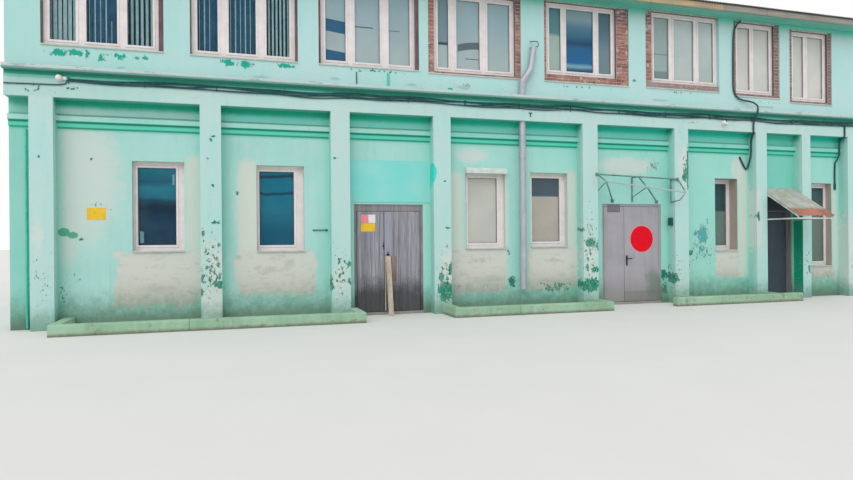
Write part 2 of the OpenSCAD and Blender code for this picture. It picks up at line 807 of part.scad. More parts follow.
module side_canopy_brackets() {
    low_z = side_canopy_front_z - side_canopy_bar * 2;
    end = side_canopy_out - side_canopy_bar;
    module bracket(x) {
        xs = [x, x + side_canopy_bar];
        block(xs, [bay_y - end, bay_y], [low_z, low_z + side_canopy_bar]);
        along_x(xs, [
            [bay_y, canopy_z(0)], [bay_y, canopy_z(0) - side_canopy_bar * 1.3],
            [bay_y - end, canopy_z(end) - side_canopy_bar * 1.3], [bay_y - end, canopy_z(end)]
        ]);
        block(xs, [bay_y - end, bay_y - end + side_canopy_bar], [low_z, canopy_z(end) - side_canopy_bar]);
    }
    left = bay_x(6) + canopy_side;
    right = bay_x(6) + bay_7_w - canopy_side - side_canopy_bar;
    color("#6e6a66") {
        bracket(left);
        bracket(right);
        block([left, right + side_canopy_bar], [bay_y - end, bay_y - end + side_canopy_bar],
            [low_z, low_z + side_canopy_bar]);
    }
}

pipe_x = bay_x(3) + 1570;
pipe_low_z = 410;
pipe_y = bay_y - moulding_out - pipe_gap - pipe_d / 2;
collar_t = 6;
upper_pipe_y = upper_y - upper_sill_out - pipe_d / 2 - collar_t;
pipe_joints = [1000, 1950, 3050];
// Corners of the upper length's line, from the ledge to its open top
upper_pipe = [
    [pipe_x - 55, upper_pipe_y, ledge_z + ledge_t - 30], [pipe_x - 55, upper_pipe_y, 4570],
    [pipe_x + 125, upper_pipe_y, 4830], [pipe_x + 200, upper_pipe_y, 5275]
];

// Angle from the vertical of a length that runs along X and Z
function lean(way) = atan2(way[0], way[2]);

// Round lengths from corner to corner, each a little narrower than the one below, with a ball in each bend
module pipe_run(corners) {
    for (i = [0 : len(corners) - 2]) {
        way = corners[i + 1] - corners[i];
        translate(corners[i]) rotate([0, lean(way), 0]) cylinder(d = pipe_d - 3 * i, h = norm(way));
        if (i > 0) translate(corners[i]) sphere(d = pipe_d + collar_t);
    }
}

module downpipe() {
    color("#8fa3a0") {
        difference() {
            union() {
                translate([pipe_x, pipe_y, pipe_low_z]) cylinder(d = pipe_d, h = beam_z - pipe_low_z);
                for (z = pipe_joints) {
                    translate([pipe_x, pipe_y, z]) cylinder(d = pipe_d + 2 * collar_t, h = 60);
                    block([pipe_x - 15, pipe_x + 15], [pipe_y, bay_y], [z + 15, z + 45]);
                }
            }
            translate([pipe_x, pipe_y, pipe_low_z - cut]) cylinder(d = pipe_d - 6, h = 120 + cut);
        }
        difference() {
            pipe_run(upper_pipe);
            translate(upper_pipe[3]) rotate([0, lean(upper_pipe[3] - upper_pipe[2]), 0])
                translate([0, 0, -120]) cylinder(d = pipe_d - 14, h = 200);
            translate([0, 0, ledge_z + ledge_t - 200]) block([pipe_x - 250, pipe_x + 250],
                [upper_pipe_y - 200, upper_pipe_y + 200], [0, 200]);
        }
    }
}

lamp_places = [[pilaster_x(0) + 450, front_y, ledge_z - 102], [bay_x(5) + 915, front_y, ledge_z - 245]];
lamp_r = 56;
lamp_out = 105;

// Round lamp with a domed cover and a small connection box beside it
module wall_lamps() {
    color("#ece6e2") for (place = lamp_places) translate(place) {
        rotate([90, 0, 0]) rotate_extrude() intersection() {
            union() {
                square([lamp_r, 22]);
                translate([0, lamp_out - lamp_r]) circle(r = lamp_r - 4);
                translate([0, 10]) square([lamp_r - 4, lamp_out - lamp_r - 10]);
            }
            square([lamp_r, lamp_out]);
        }
        block([lamp_r - 10, lamp_r + 55], [-38, 0], [-24, 24]);
    }
}

cable_x = lamp_places[0][0] + lamp_r + 60;
cable_z = ledge_z - 163;
cable_count = 3;

module cable_bundle() {
    color("#1f4a48") for (i = [0 : cable_count - 1])
        translate([cable_x, front_y - cable_d / 2, cable_z + i * (cable_d + 4)])
            rotate([0, 90, 0]) cylinder(d = cable_d, h = right_x - cable_x);
}

module switch_box() {
    color("#155a52") block([pilaster_x(5) - 50, pilaster_x(5)], [front_y + 70, front_y + 180], [1690, 1860]);
}

// Planter kerbs: where each starts and ends, its reach from the pilasters,
// where its stones meet, and the places of its returns with how far back each runs
kerbs = [
    [pilaster_x(0) + 450, bay_x(2) + 110, 850, bay_x(0) + 2110,
        [[pilaster_x(0) + 450, bay_y], [bay_x(2) - 40, front_y]]],
    [pilaster_x(3) + 160, pilaster_x(4) + 225, 750, bay_x(3) + 1100,
        [[pilaster_x(3) + 160, front_y], [pilaster_x(4) + 225 - kerb_w, front_y]]],
    [pilaster_x(5) - 375, bay_x(6) + 435, 540, bay_x(5) + 1200,
        [[pilaster_x(5) + 10, front_y], [bay_x(6) - kerb_w - 60, front_y]]]
];

module kerb_fronts() {
    color("#a5d6c0") for (k = kerbs) {
        outer = front_y - k[2];
        outline = [
            [outer, 0], [outer + kerb_w, 0], [outer + kerb_w, kerb_h],
            [outer + kerb_bevel, kerb_h], [outer, kerb_h - kerb_bevel]
        ];
        along_x([k[0], k[3] - kerb_joint / 2], outline);
        along_x([k[3] + kerb_joint / 2, k[1]], outline);
    }
}

module kerb_returns() {
    color("#a5d6c0") for (k = kerbs) for (r = k[4])
        block([r[0], r[0] + kerb_w], [front_y - k[2] + kerb_w, r[1]], [0, kerb_h]);
}

ground_floor();
upper_floor();
ceiling();
front_wall();
door_head_walls();
back_wall();
left_end_wall();
right_end_wall();
pilasters();
facade_beams();
ledges();
bay_mouldings();
upper_front_wall();
upper_back_wall();
front_roof();
back_roof();
ridge_cap();
fascias();
verge_boards();
soffits();
front_ground_frames();
front_ground_panes();
front_upper_frames();
front_upper_panes();
back_frames();
back_panes();
window_sills();
brick_infill();
window_hood();
wood_door_frame();
wood_left_leaf();
wood_right_leaf();
prop_board();
transom_panel();
steel_door_frame();
steel_side_leaf();
steel_main_leaf();
steel_door_handle();
side_door_frame();
side_door_leaf();
canopy_frame();
side_canopy_sheet();
side_canopy_brackets();
downpipe();
wall_lamps();
cable_bundle();
switch_box();
kerb_fronts();
kerb_returns();
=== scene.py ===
# Factory building: camera, light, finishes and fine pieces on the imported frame.
# Metres. The facade faces -Y, X runs to the right along it, and the base lies at z = 0.
import math
import random
from functools import reduce
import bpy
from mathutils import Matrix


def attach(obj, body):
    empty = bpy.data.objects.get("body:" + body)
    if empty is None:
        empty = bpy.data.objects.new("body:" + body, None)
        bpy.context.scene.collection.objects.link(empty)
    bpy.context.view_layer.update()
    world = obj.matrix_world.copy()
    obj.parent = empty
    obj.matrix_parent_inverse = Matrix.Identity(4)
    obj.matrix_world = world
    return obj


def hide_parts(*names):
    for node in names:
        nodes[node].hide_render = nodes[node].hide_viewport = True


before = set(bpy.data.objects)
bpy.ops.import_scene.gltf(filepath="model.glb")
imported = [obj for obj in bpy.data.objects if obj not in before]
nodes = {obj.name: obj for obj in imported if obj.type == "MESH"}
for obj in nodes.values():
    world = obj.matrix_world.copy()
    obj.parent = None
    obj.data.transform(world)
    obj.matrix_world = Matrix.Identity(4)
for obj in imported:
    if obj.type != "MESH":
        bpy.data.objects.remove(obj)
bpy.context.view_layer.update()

from types import SimpleNamespace

import bmesh
import bpy
from mathutils import Matrix, Vector

scene = bpy.context.scene
print("frame loaded")


def placed(name, data):
    made = bpy.data.objects.new(name, data)
    scene.collection.objects.link(made)
    return made


# plan of the building, as in the part's source
plan = {
    "leftStrip": 0.35,
    "bays": [2.255, 1.915, 1.62, 2.885, 1.9, 1.84, 1.02, 1.14],
    "pilasters": [0.35, 0.35, 0.35, 0.35, 0.35, 0.35, 0.3, 0.25, 0.35],
    "pilasterFace": -4.75, "upperFrameFace": -4.6, "backGroundFrameFace": 4.37,
    "eavesTop": 6.46, "eavesReach": 5.09, "roofPitch": math.radians(15),
}
planLength = plan["leftStrip"] + sum(plan["bays"]) + sum(plan["pilasters"])
leftEnd, rightEnd = -planLength / 2, planLength / 2
bayFace, leafFace = -4.5, -4.478  # Y of the bays' wall, and of the door leaves
rail, mullion = 0.1, 0.14  # widths of a window frame's outer members and of the ones between two lights


def pilasterLeft(i):
    return leftEnd + plan["leftStrip"] + sum(plan["pilasters"][:i]) + sum(plan["bays"][:i])


def bayLeft(i):
    return pilasterLeft(i) + plan["pilasters"][i]


# bay, light's place in it, light's width, opening's sill and head, frame's way back
groundWindows = [
    (0, 1.215, 0.62, 1.27, 2.82, 0.13), (1, 0.655, 0.62, 1.25, 2.8, 0.13), (3, 0.47, 0.625, 1.25, 2.76, 0.09),
    (3, 1.9, 0.635, 1.27, 2.79, 0.13), (5, 1.005, 0.43, 1.14, 2.76, 0.25), (7, 0.39, 0.44, 0.73, 2.7, 0.16),
]
# pilaster, place, width, sill, head, frame's place, frame's width, its underside, its top, its lights
upperWindows = [
    (0, 0.165, 1.865, 4.68, 6.25, 0.02, 1.765, 4.68, 6.25, (0.38, 0.465, 0.395)),
    (1, -0.15, 1.84, 4.67, 6.25, 0.02, 1.775, 4.67, 6.25, (0.335, 0.46, 0.4)),
    (2, -0.2, 1.915, 4.67, 6.25, 0.04, 1.81, 4.67, 6.25, (0.37, 0.475, 0.41)),
    (3, -0.07, 1.955, 4.65, 6.25, 0.125, 1.715, 4.69, 6.235, (0.21, 0.485, 0.475)),
    (4, -0.83, 1.99, 4.655, 6.305, 0.055, 1.645, 4.8, 6.285, (0.26, 0.63, 0.29)),
    (5, -0.67, 1.915, 4.67, 6.34, 0.165, 1.75, 4.79, 6.32, (0.375, 0.51, 0.385)),
    (6, -0.545, 1.295, 4.62, 6.315, 0.07, 1.09, 4.68, 6.29, (0.34, 0.44)),
    (7, -0.28, 1.265, 4.55, 6.26, 0.085, 1.08, 4.6, 6.23, (0.3, 0.455)),
]


def spreadLights(left, width, widths):
    bar = (width - 2 * rail - sum(widths)) / (len(widths) - 1)
    return [(left + rail + sum(widths[:i]) + i * bar, w) for i, w in enumerate(widths)]


def evenLights(left, width, count):
    light = (width - 2 * rail - (count - 1) * mullion) / count
    return [(left + rail + i * (light + mullion), light) for i in range(count)]


# every light of a window as (left, right, low, top), with the Y of its frame's outer face
frontLights, backLights = [], []


def addLights(lights, spans, sill, head, face):
    lights.extend((left, left + width, sill + rail, head - rail, face)
                  for left, width in spans)


for bay, place, width, sill, head, back in groundWindows:
    addLights(frontLights, [(bayLeft(bay) + place, width)], sill, head, bayFace + back)
for i, place, width, sill, head, inset, frameWidth, frameLow, frameTop, lights in upperWindows:
    left = pilasterLeft(i) + place
    addLights(frontLights, spreadLights(left + inset, frameWidth, lights), frameLow, frameTop, plan["upperFrameFace"])
    addLights(backLights, evenLights(left, width, len(lights)), sill, head, -plan["upperFrameFace"])
for bay, width in enumerate([0.85] * 6 + [0.6] * 2):
    left = bayLeft(bay) + (plan["bays"][bay] - width) / 2
    addLights(backLights, evenLights(left, width, 1), 1.27, 2.82, plan["backGroundFrameFace"])

# camera, as worked out from the photo
view = {"place": (-5.4785, -16.47, 1.42), "turn": math.radians(16.85), "roll": 0.0085, "lens": 36 * 640 / 853}

cameraData = bpy.data.cameras.new("facadeCamera")
cameraData.lens = view["lens"]
cameraData.sensor_width = 36
cameraData.clip_end = 300
camera = placed("facadeCamera", cameraData)
turn, roll = view["turn"], view["roll"]
ahead = Vector((math.sin(turn), math.cos(turn), 0))
level = Vector((math.cos(turn), -math.sin(turn), 0))
upright = Vector((0, 0, 1))
sideways = level * math.cos(roll) - upright * math.sin(roll)
upwards = upright * math.cos(roll) + level * math.sin(roll)
camera.matrix_world = Matrix.Translation(view["place"]) @ Matrix((sideways, upwards, -ahead)).transposed().to_4x4()
scene.camera = camera
scene.view_settings.view_transform = "Standard"


def tint(code):
    # a colour written as 0xRRGGBB, as the linear values that a socket takes
    shares = [(code >> shift & 255) / 255 for shift in (16, 8, 0)]
    return (*[s / 12.92 if s <= 0.04045 else ((s + 0.055) / 1.055) ** 2.4 for s in shares], 1.0)


class Wire:  # one output socket; arithmetic on it adds Math nodes to its sheet
    def __init__(self, sheet, socket):
        self.sheet, self.socket = sheet, socket

    def __abs__(self):
        return self.sheet.maths("ABSOLUTE", self)


for sign, operation in {"add": "ADD", "sub": "SUBTRACT", "mul": "MULTIPLY", "truediv": "DIVIDE"}.items():
    setattr(Wire, f"__{sign}__", lambda wire, other, kind=operation: wire.sheet.maths(kind, wire, other))
    setattr(Wire, f"__r{sign}__", lambda wire, other, kind=operation: wire.sheet.maths(kind, other, wire))
for sign, operation in {"gt": "GREATER_THAN", "lt": "LESS_THAN"}.items():
    setattr(Wire, f"__{sign}__", lambda wire, other, kind=operation: wire.sheet.maths(kind, wire, other))


class Sheet:  # a node tree with short ways to add nodes; colours are written as 0xRRGGBB
    def __init__(self, tree):
        self.tree = tree

    def plug(self, value, socket):
        if isinstance(value, Wire):
            self.tree.links.new(value.socket, socket)
        elif value is not None:
            socket.default_value = tint(value) if socket.type == "RGBA" and isinstance(value, int) else value

    def add(self, kind, settings=None, sockets=None, pick=0):
        node = self.tree.nodes.new(kind)
        for key, value in (settings or {}).items():
            setattr(node, key, value)
        for key, value in (sockets or {}).items():
            self.plug(value, node.inputs[key])
        return Wire(self, node.outputs[pick])

    def grow(self, kind, pick=0, settings=None, **sockets):  # a geometry node; _ stands for a space in a socket's name
        named = {key.replace("_", " "): value for key, value in sockets.items()}
        return self.add("GeometryNode" + kind, settings, named, pick)

    def maths(self, operation, *values):
        return self.add("ShaderNodeMath", {"operation": operation}, dict(enumerate(values)))

    def vectors(self, operation, *values, pick=0):
        return self.add("ShaderNodeVectorMath", {"operation": operation}, dict(enumerate(values)), pick)

    def largest(self, first, second):
        return self.maths("MAXIMUM", first, second)

    def smallest(self, first, second):
        return self.maths("MINIMUM", first, second)

    def split(self, vector):
        node = self.tree.nodes.new("ShaderNodeSeparateXYZ")
        self.plug(vector, node.inputs[0])
        return [Wire(self, output) for output in node.outputs]


finishes = {}  # every material made here, by the name it was given


class Finish(Sheet):  # one material; layers go over its colour, and dress() closes it
    def __init__(self, name, **steady):
        self.material = bpy.data.materials.new(name)
        self.material.use_nodes = True
        finishes[name] = self.material
        super().__init__(self.material.node_tree)
        self.tree.nodes.clear()
        self.shader = self.tree.nodes.new("ShaderNodeBsdfPrincipled")
        output = self.tree.nodes.new("ShaderNodeOutputMaterial")
        self.tree.links.new(self.shader.outputs[0], output.inputs["Surface"])
        for key, value in steady.items():
            self.shader.inputs[key].default_value = value
        self.point = self.add("ShaderNodeTexCoord", pick=3)
        self.x, self.y, self.z = self.split(self.point)

    def stretched(self, stretch, shift=(0, 0, 0)):
        if stretch == (1, 1, 1) and shift == (0, 0, 0):
            return self.point
        return self.vectors("MULTIPLY_ADD", self.point, stretch, shift)

    def noise(self, scale, detail=3, rough=0.55, stretch=(1, 1, 1), shift=(0, 0, 0)):
        return self.add("ShaderNodeTexNoise", None, {
            "Vector": self.stretched(stretch, shift), "Scale": scale, "Detail": detail, "Roughness": rough})

    def ease(self, value, low, high, first=0.0, last=1.0):
        return self.add("ShaderNodeMapRange", {"interpolation_type": "SMOOTHSTEP"},
                        {0: value, 1: low, 2: high, 3: first, 4: last})

    def between(self, value, low, high, soft):
        return self.ease(value, low - soft, low + soft) * self.ease(value, high - soft, high + soft, 1.0, 0.0)

    def ramp(self, value, stops, steps=False):
        wire = self.add("ShaderNodeValToRGB", None, {0: value})
        ramp = wire.socket.node.color_ramp
        while len(ramp.elements) < len(stops):
            ramp.elements.new(1.0)
        for stop, (place, colour) in zip(ramp.elements, stops):
            stop.position, stop.color = place, tint(colour) if isinstance(colour, int) else colour
        if steps:
            ramp.interpolation = "CONSTANT"
        return wire

    def mix(self, factor, first, second):
        return self.add("ShaderNodeMix", {"data_type": "RGBA", "clamp_factor": True},
                        {0: factor, 6: first, 7: second}, pick=2)

    def blend(self, value, low, high, first, second):
        return self.mix(self.ease(value, low, high), first, second)

    def base(self, value, first, second, low=0.36):  # two tones, as value goes from low to its opposite
        self.colour = self.blend(value, low, 1 - low, first, second)

    def over(self, mask, colour, share=1, drop=0):  # a layer over what is there; drop lowers the surface in it
        if share != 1:
            mask = mask * share
        self.colour = self.mix(mask, self.colour, colour)
        if drop:
            self.height = self.height - mask * drop

    def rise(self, value, low, high, colour, share=1, drop=0):  # a layer that comes up as value nears high
        self.over(self.ease(value, low, high), colour, share, drop)

    def band(self, value, low, high, soft, colour, share=1):  # a layer where value lies between low and high
        self.over(self.between(value, low, high, soft), colour, share)

    def spots(self, rows, edge):
        # soft ellipses (x, z, half width, half height, strength): full strength at a middle, less and less far off
        fields = []
        for x, z, wide, high, *strength in rows:
            peak = strength[0] if strength else 1.0
            off = self.vectors("MULTIPLY_ADD", self.point, (1 / wide, 0, 1 / high), (-x / wide, 0, -z / high))
            fields.append(self.maths("MULTIPLY_ADD", self.vectors("LENGTH", off, pick=1), -0.5 * peak, peak))
        return reduce(self.largest, fields) + edge

    def boxes(self, rows, edge, corner=0.12):
        # boxes (x0, x1, z0, z1), soft at the corners: metres inside a side
        fields = []
        for x0, x1, z0, z1 in rows:
            off = self.vectors("SUBTRACT", self.point, ((x0 + x1) / 2, 0, (z0 + z1) / 2))
            across, _, up = self.split(self.vectors("ABSOLUTE", off))
            fields.append(self.maths("SMOOTH_MIN", (x1 - x0) / 2 - across, (z1 - z0) / 2 - up, corner))
        return reduce(self.largest, fields) + edge

    def dress(self, rough=None, height=None, depth=0.002, **others):
        # rough is a value, or (value, low, high) for a roughness that follows it
        self.plug(self.colour, self.shader.inputs["Base Color"])
        if isinstance(rough, tuple):
            rough = self.ease(rough[0], 0.3, 0.7, *rough[1:])
        self.plug(rough, self.shader.inputs["Roughness"])
        if height is not None:
            bump = self.add("ShaderNodeBump", None, {"Height": height, "Distance": depth, "Strength": 1.0})
            self.plug(bump, self.shader.inputs["Normal"])
        for key, value in others.items():
            self.plug(value, self.shader.inputs[key])
        return self.material


# the sky is plain and pale; camera, gloss and glass see it white
world = bpy.data.worlds.new("studio")
scene.world = world
world.use_nodes = True
sky = Sheet(world.node_tree)
world.node_tree.nodes.clear()
rays = world.node_tree.nodes.new("ShaderNodeLightPath")
seen = reduce(sky.largest, [Wire(sky, rays.outputs[name]) for name in
                            ("Is Camera Ray", "Is Glossy Ray", "Is Transmission Ray")])
light = {"sky": 0.82, "sun": 1.15, "sunSpread": 50, "sunTurn": (48, 0, -32)}
soft = sky.add("ShaderNodeBackground", None, {"Color": (0.97, 0.985, 1, 1), "Strength": light["sky"]})
white = sky.add("ShaderNodeBackground", None, {"Color": (1, 1, 1, 1), "Strength": 1.0})
ground = sky.add("ShaderNodeMixShader", None, {0: seen, 1: soft, 2: white})
sky.plug(ground, world.node_tree.nodes.new("ShaderNodeOutputWorld").inputs["Surface"])

sunData = bpy.data.lights.new("softSun", "SUN")
sunData.energy = light["sun"]
sunData.angle = math.radians(light["sunSpread"])
placed("softSun", sunData).rotation_euler = [math.radians(a) for a in light["sunTurn"]]

floorFinish = Finish("paleFloor", Roughness=0.9)
floorFinish.colour = floorFinish.mix(floorFinish.noise(0.8, 4), 0xDEDCD8, 0xE6E4E1)
floorMesh = bpy.data.meshes.new("floor")
floorMesh.from_pydata([(x, y, -0.002) for x, y in ((-150, -150), (150, -150), (150, 150), (-150, 150))],
                      [], [(0, 1, 2, 3)])
floorMesh.materials.append(floorFinish.dress())
floor = placed("floor", floorMesh)
print("camera, light and floor made")

# tones that the plaster finishes share
plaster = {
    "pale": 0xC8D4CE, "mint": 0xACD8D1, "strong": 0x88D6C5,
    "shade": 0x00AC8E, "bare": 0xCED0C8, "old": 0x007A68, "dirt": 0x5C6854,
}


class Plaster(Finish):  # painted render: clouds, streaks, chips, and layers put over them
    def __init__(self, name, first, second):
        super().__init__(name)
        cloud = self.noise(0.9, 4, 0.6)
        grain = self.noise(42, 3, 0.6)
        streaks = self.noise(1, 4, 0.6, stretch=(9, 9, 0.7))
        self.mottle = self.noise(5, 5, 0.62, shift=(4, 2, 7))
        self.ragged = self.noise(9, 5, 0.72, shift=(1, 5, 3)) - 0.5
        self.fine = (self.noise(17, 5, 0.72, (1.15, 1, 0.85), (2, 2, 8)) - 0.5) * 2.3 + self.ragged * 0.6
        self.base(cloud * 0.6 + streaks * 0.25 + self.mottle * 0.15, first, second, 0.38)
        self.rise(self.mottle, 0.56, 0.74, plaster["bare"], 0.4)
        self.rise(streaks * 0.6 + grain * 0.4, 0.56, 0.72, 0x78B0A2, 0.3)
        self.height = self.mottle * 0.7 + grain * 0.25 + cloud * 0.6

    def level(self, stray):  # the height, straying by the ragged noise
        return self.z + self.ragged * stray

    def inner(self):  # 1 all along the facade, 0 on the ends of walls and beam
        return self.ease(abs(self.x), 8.958, 8.95)

    def chips(self, rows, share=1, colour=plaster["old"]):  # chips of old paint with pale rims, thick in the spots
        field = self.spots(rows, self.fine)
        self.rise(field, 0.66, 0.72, colour, share, 0.4)
        self.band(field, 0.56, 0.64, 0.02, plaster["bare"], 0.5)

    def close(self, rough=0.78, depth=0.006):
        return self.dress((self.mottle, rough - 0.06, rough + 0.08), self.height, depth)


# marks on the plaster: spots as (x, z, half width, half height, strength), boxes as (x0, x1, z0, z1)
bayMarks = {
    "pale": [(-8.0, 2.5, 0.75, 1.25), (-8.2, 1.67, 0.3, 0.7), (-5.2, 1.81, 0.26, 1.15), (2.66, 2.98, 0.75, 0.22),
             (5.62, 2.98, 0.2, 0.3), (-0.9, 3.1, 0.35, 0.16)],
    "paleBoxes": [(-6.28, -6.0, 1.25, 2.95), (-5.38, -5.05, 0.6, 2.86), (-1.42, -1.08, 0.3, 2.76),
                  (-0.24, -0.1, 1.25, 2.7), (1.2, 1.46, 0.5, 2.86), (5.6, 5.88, 0.5, 3.02), (8.4, 8.58, 0.3, 2.7)],
    "bareBoxes": [(-7.42, -6.0, 0.3, 1.28), (-5.44, -4.0, 0.42, 1.27), (-1.44, -0.12, 0.34, 1.26),
                  (0.32, 1.47, 0.36, 1.28), (4.93, 5.66, 0.5, 1.15), (7.74, 8.42, 0.42, 0.74)],
    "stain": [(-4.86, 0.92, 0.4, 0.12), (-0.73, 1.01, 0.36, 0.1), (-0.5, 0.62, 0.5, 0.1), (0.9, 0.98, 0.4, 0.06),
              (-5.39, 1.15, 0.07, 0.07), (-4.06, 0.75, 0.07, 0.08), (5.92, 1.8, 0.05, 0.07), (0.9, 0.55, 0.5, 0.12),
              (-4.5, 1.02, 0.14, 0.14), (-6.7, 0.62, 0.4, 0.1)],
    "flakes": [(-8.31, 1.26, 0.04, 0.06), (-7.91, 1.48, 0.04, 0.03), (-8.04, 2.25, 0.03, 0.04),
               (-7.75, 2.83, 0.03, 0.03), (-5.39, 2.3, 0.03, 0.05, 0.9), (-0.11, 1.16, 0.05, 0.06),
               (4.29, 1.08, 0.08, 0.06, 1.5), (4.24, 0.8, 0.04, 0.08, 1.2), (3.6, 0.62, 0.09, 0.1, 1.4),
               (3.62, 0.3, 0.1, 0.14, 1.1), (-0.04, 0.57, 0.07, 0.12, 1.3)],
    "blue": [(4.64, 1.5, 0.14, 0.2, 1.3), (4.77, 1.77, 0.04, 0.07), (4.44, 1.5, 0.05, 0.08, 1.2),
             (4.6, 1.15, 0.4, 0.45, 0.72), (4.82, 1.03, 0.07, 0.05), (3.34, 2.98, 0.2, 0.16, 0.86)],
    "chips": [(-8.2, 0.62, 0.5, 0.5, 0.52), (-7.9, 2.05, 0.6, 0.12, 0.54), (0.95, 0.42, 0.5, 0.13, 0.84),
              (-0.9, 0.5, 0.5, 0.14, 0.62), (8.2, 0.5, 0.5, 0.4, 0.52)],
    "blob": [(-8.17, 1.6, 0.09, 0.07, 1.4), (-8.04, 1.55, 0.09, 0.06, 1.3)],
}
pilasterMarks = {
    "flakes": [(-8.48, 2.82, 0.03, 0.04), (-5.79, 3.25, 0.06, 0.035), (-5.82, 3.19, 0.025, 0.06),
               (-5.88, 2.87, 0.03, 0.04), (-5.8, 2.4, 0.03, 0.03, 0.9), (-5.76, 1.75, 0.08, 0.05),
               (-5.97, 1.57, 0.03, 0.09), (-5.7, 1.36, 0.04, 0.05), (-5.91, 1.21, 0.08, 0.05),
               (-5.72, 1.03, 0.04, 0.05), (-5.97, 0.81, 0.04, 0.1), (-5.7, 0.81, 0.03, 0.13),
               (-5.79, 0.71, 0.12, 0.07), (-5.99, 0.53, 0.03, 0.09), (-3.66, 2.94, 0.05, 0.024),
               (-3.6, 1.05, 0.13, 0.07, 0.8), (-3.75, 0.64, 0.06, 0.17), (-3.65, 0.68, 0.05, 0.06),
               (-3.42, 0.98, 0.04, 0.07), (-3.42, 0.67, 0.04, 0.09), (-1.49, 1.65, 0.06, 0.025),
               (-1.55, 2.55, 0.03, 0.025), (-1.63, 0.72, 0.06, 0.12, 1.2), (-1.45, 0.88, 0.05, 0.13, 1.2),
               (-1.54, 0.42, 0.15, 0.17, 1.5), (1.41, 1.77, 0.05, 0.05), (1.45, 1.61, 0.04, 0.05),
               (1.63, 1.34, 0.13, 0.11, 1.3), (1.4, 1.33, 0.05, 0.09), (1.79, 1.29, 0.05, 0.11),
               (1.56, 1.0, 0.04, 0.05), (1.55, 0.81, 0.04, 0.1), (1.73, 0.77, 0.1, 0.07, 1.3),
               (1.62, 0.46, 0.18, 0.14, 1.5), (3.97, 2.76, 0.06, 0.12, 1.3), (4.04, 2.95, 0.03, 0.4, 1.3),
               (-5.7, 0.68, 0.05, 0.08, 1.4), (3.72, 0.55, 0.07, 0.11, 1.4), (5.95, 1.9, 0.04, 0.09, 1.2),
               (7.42, 0.67, 0.05, 0.09)],
    "chips": [(-5.83, 0.95, 0.22, 0.65, 0.68), (-3.58, 0.8, 0.2, 0.5, 0.66), (-1.55, 0.75, 0.2, 0.6, 0.66),
              (1.62, 1.2, 0.22, 0.9, 0.66), (3.75, 0.6, 0.25, 0.6, 0.6), (-8.45, 0.8, 0.25, 0.8, 0.5),
              (7.4, 0.7, 0.2, 0.6, 0.56), (8.75, 0.8, 0.2, 0.7, 0.52), (3.98, 2.9, 0.12, 0.4, 0.66)],
    "bare": [(3.98, 2.98, 0.17, 0.4), (-5.8, 0.3, 0.2, 0.35), (-5.78, 1.0, 0.16, 0.6, 0.8),
             (1.62, 1.05, 0.2, 0.6, 0.8), (-3.6, 0.7, 0.2, 0.5, 0.75), (-1.5, 0.9, 0.2, 0.5, 0.75),
             (8.7, 1.0, 0.3, 1.4, 0.8), (-8.5, 1.5, 0.12, 0.35, 0.8), (5.93, 1.85, 0.15, 0.75, 1.0)],
    "turquoise": [(-1.8, 2.72, 0.085, 0.19, 1.3), (-1.83, 2.52, 0.06, 0.18, 1.3)],
}
upperMarks = {
    "teal": [(-8.18, 4.54, 0.14, 0.07, 1.2), (-7.92, 4.56, 0.14, 0.06, 1.2), (-7.77, 4.56, 0.08, 0.06),
             (-7.55, 4.5, 0.07, 0.07, 1.1), (-7.26, 4.54, 0.1, 0.055, 1.1), (-7.0, 4.55, 0.07, 0.04),
             (-6.87, 4.55, 0.07, 0.04), (-5.54, 4.57, 0.15, 0.055, 1.2), (-5.24, 4.56, 0.12, 0.065, 1.2),
             (-4.53, 4.58, 0.17, 0.045, 1.1), (-1.4, 4.36, 0.05, 0.02), (2.75, 4.78, 0.06, 0.04),
             (4.32, 5.25, 0.03, 0.08)],
    "chips": [(-7.9, 4.55, 0.7, 0.06, 0.7), (-5.3, 4.57, 0.5, 0.05, 0.68), (-4.5, 4.58, 0.25, 0.04, 0.68),
              (-2.9, 4.6, 0.9, 0.035, 0.72), (-1.1, 4.45, 0.4, 0.06, 0.64), (1.4, 4.56, 0.8, 0.04, 0.6),
              (3.9, 4.6, 0.7, 0.05, 0.6), (6.3, 4.5, 0.7, 0.05, 0.58)],
    "grey": [(-7.98, 4.33, 0.3, 0.02), (-7.25, 4.36, 0.1, 0.025), (-4.96, 4.35, 0.2, 0.03), (-3.66, 4.41, 0.12, 0.03),
             (-2.19, 4.39, 0.14, 0.03), (-1.11, 4.4, 0.2, 0.05), (3.4, 4.4, 0.3, 0.03), (6.2, 4.4, 0.4, 0.03)],
}


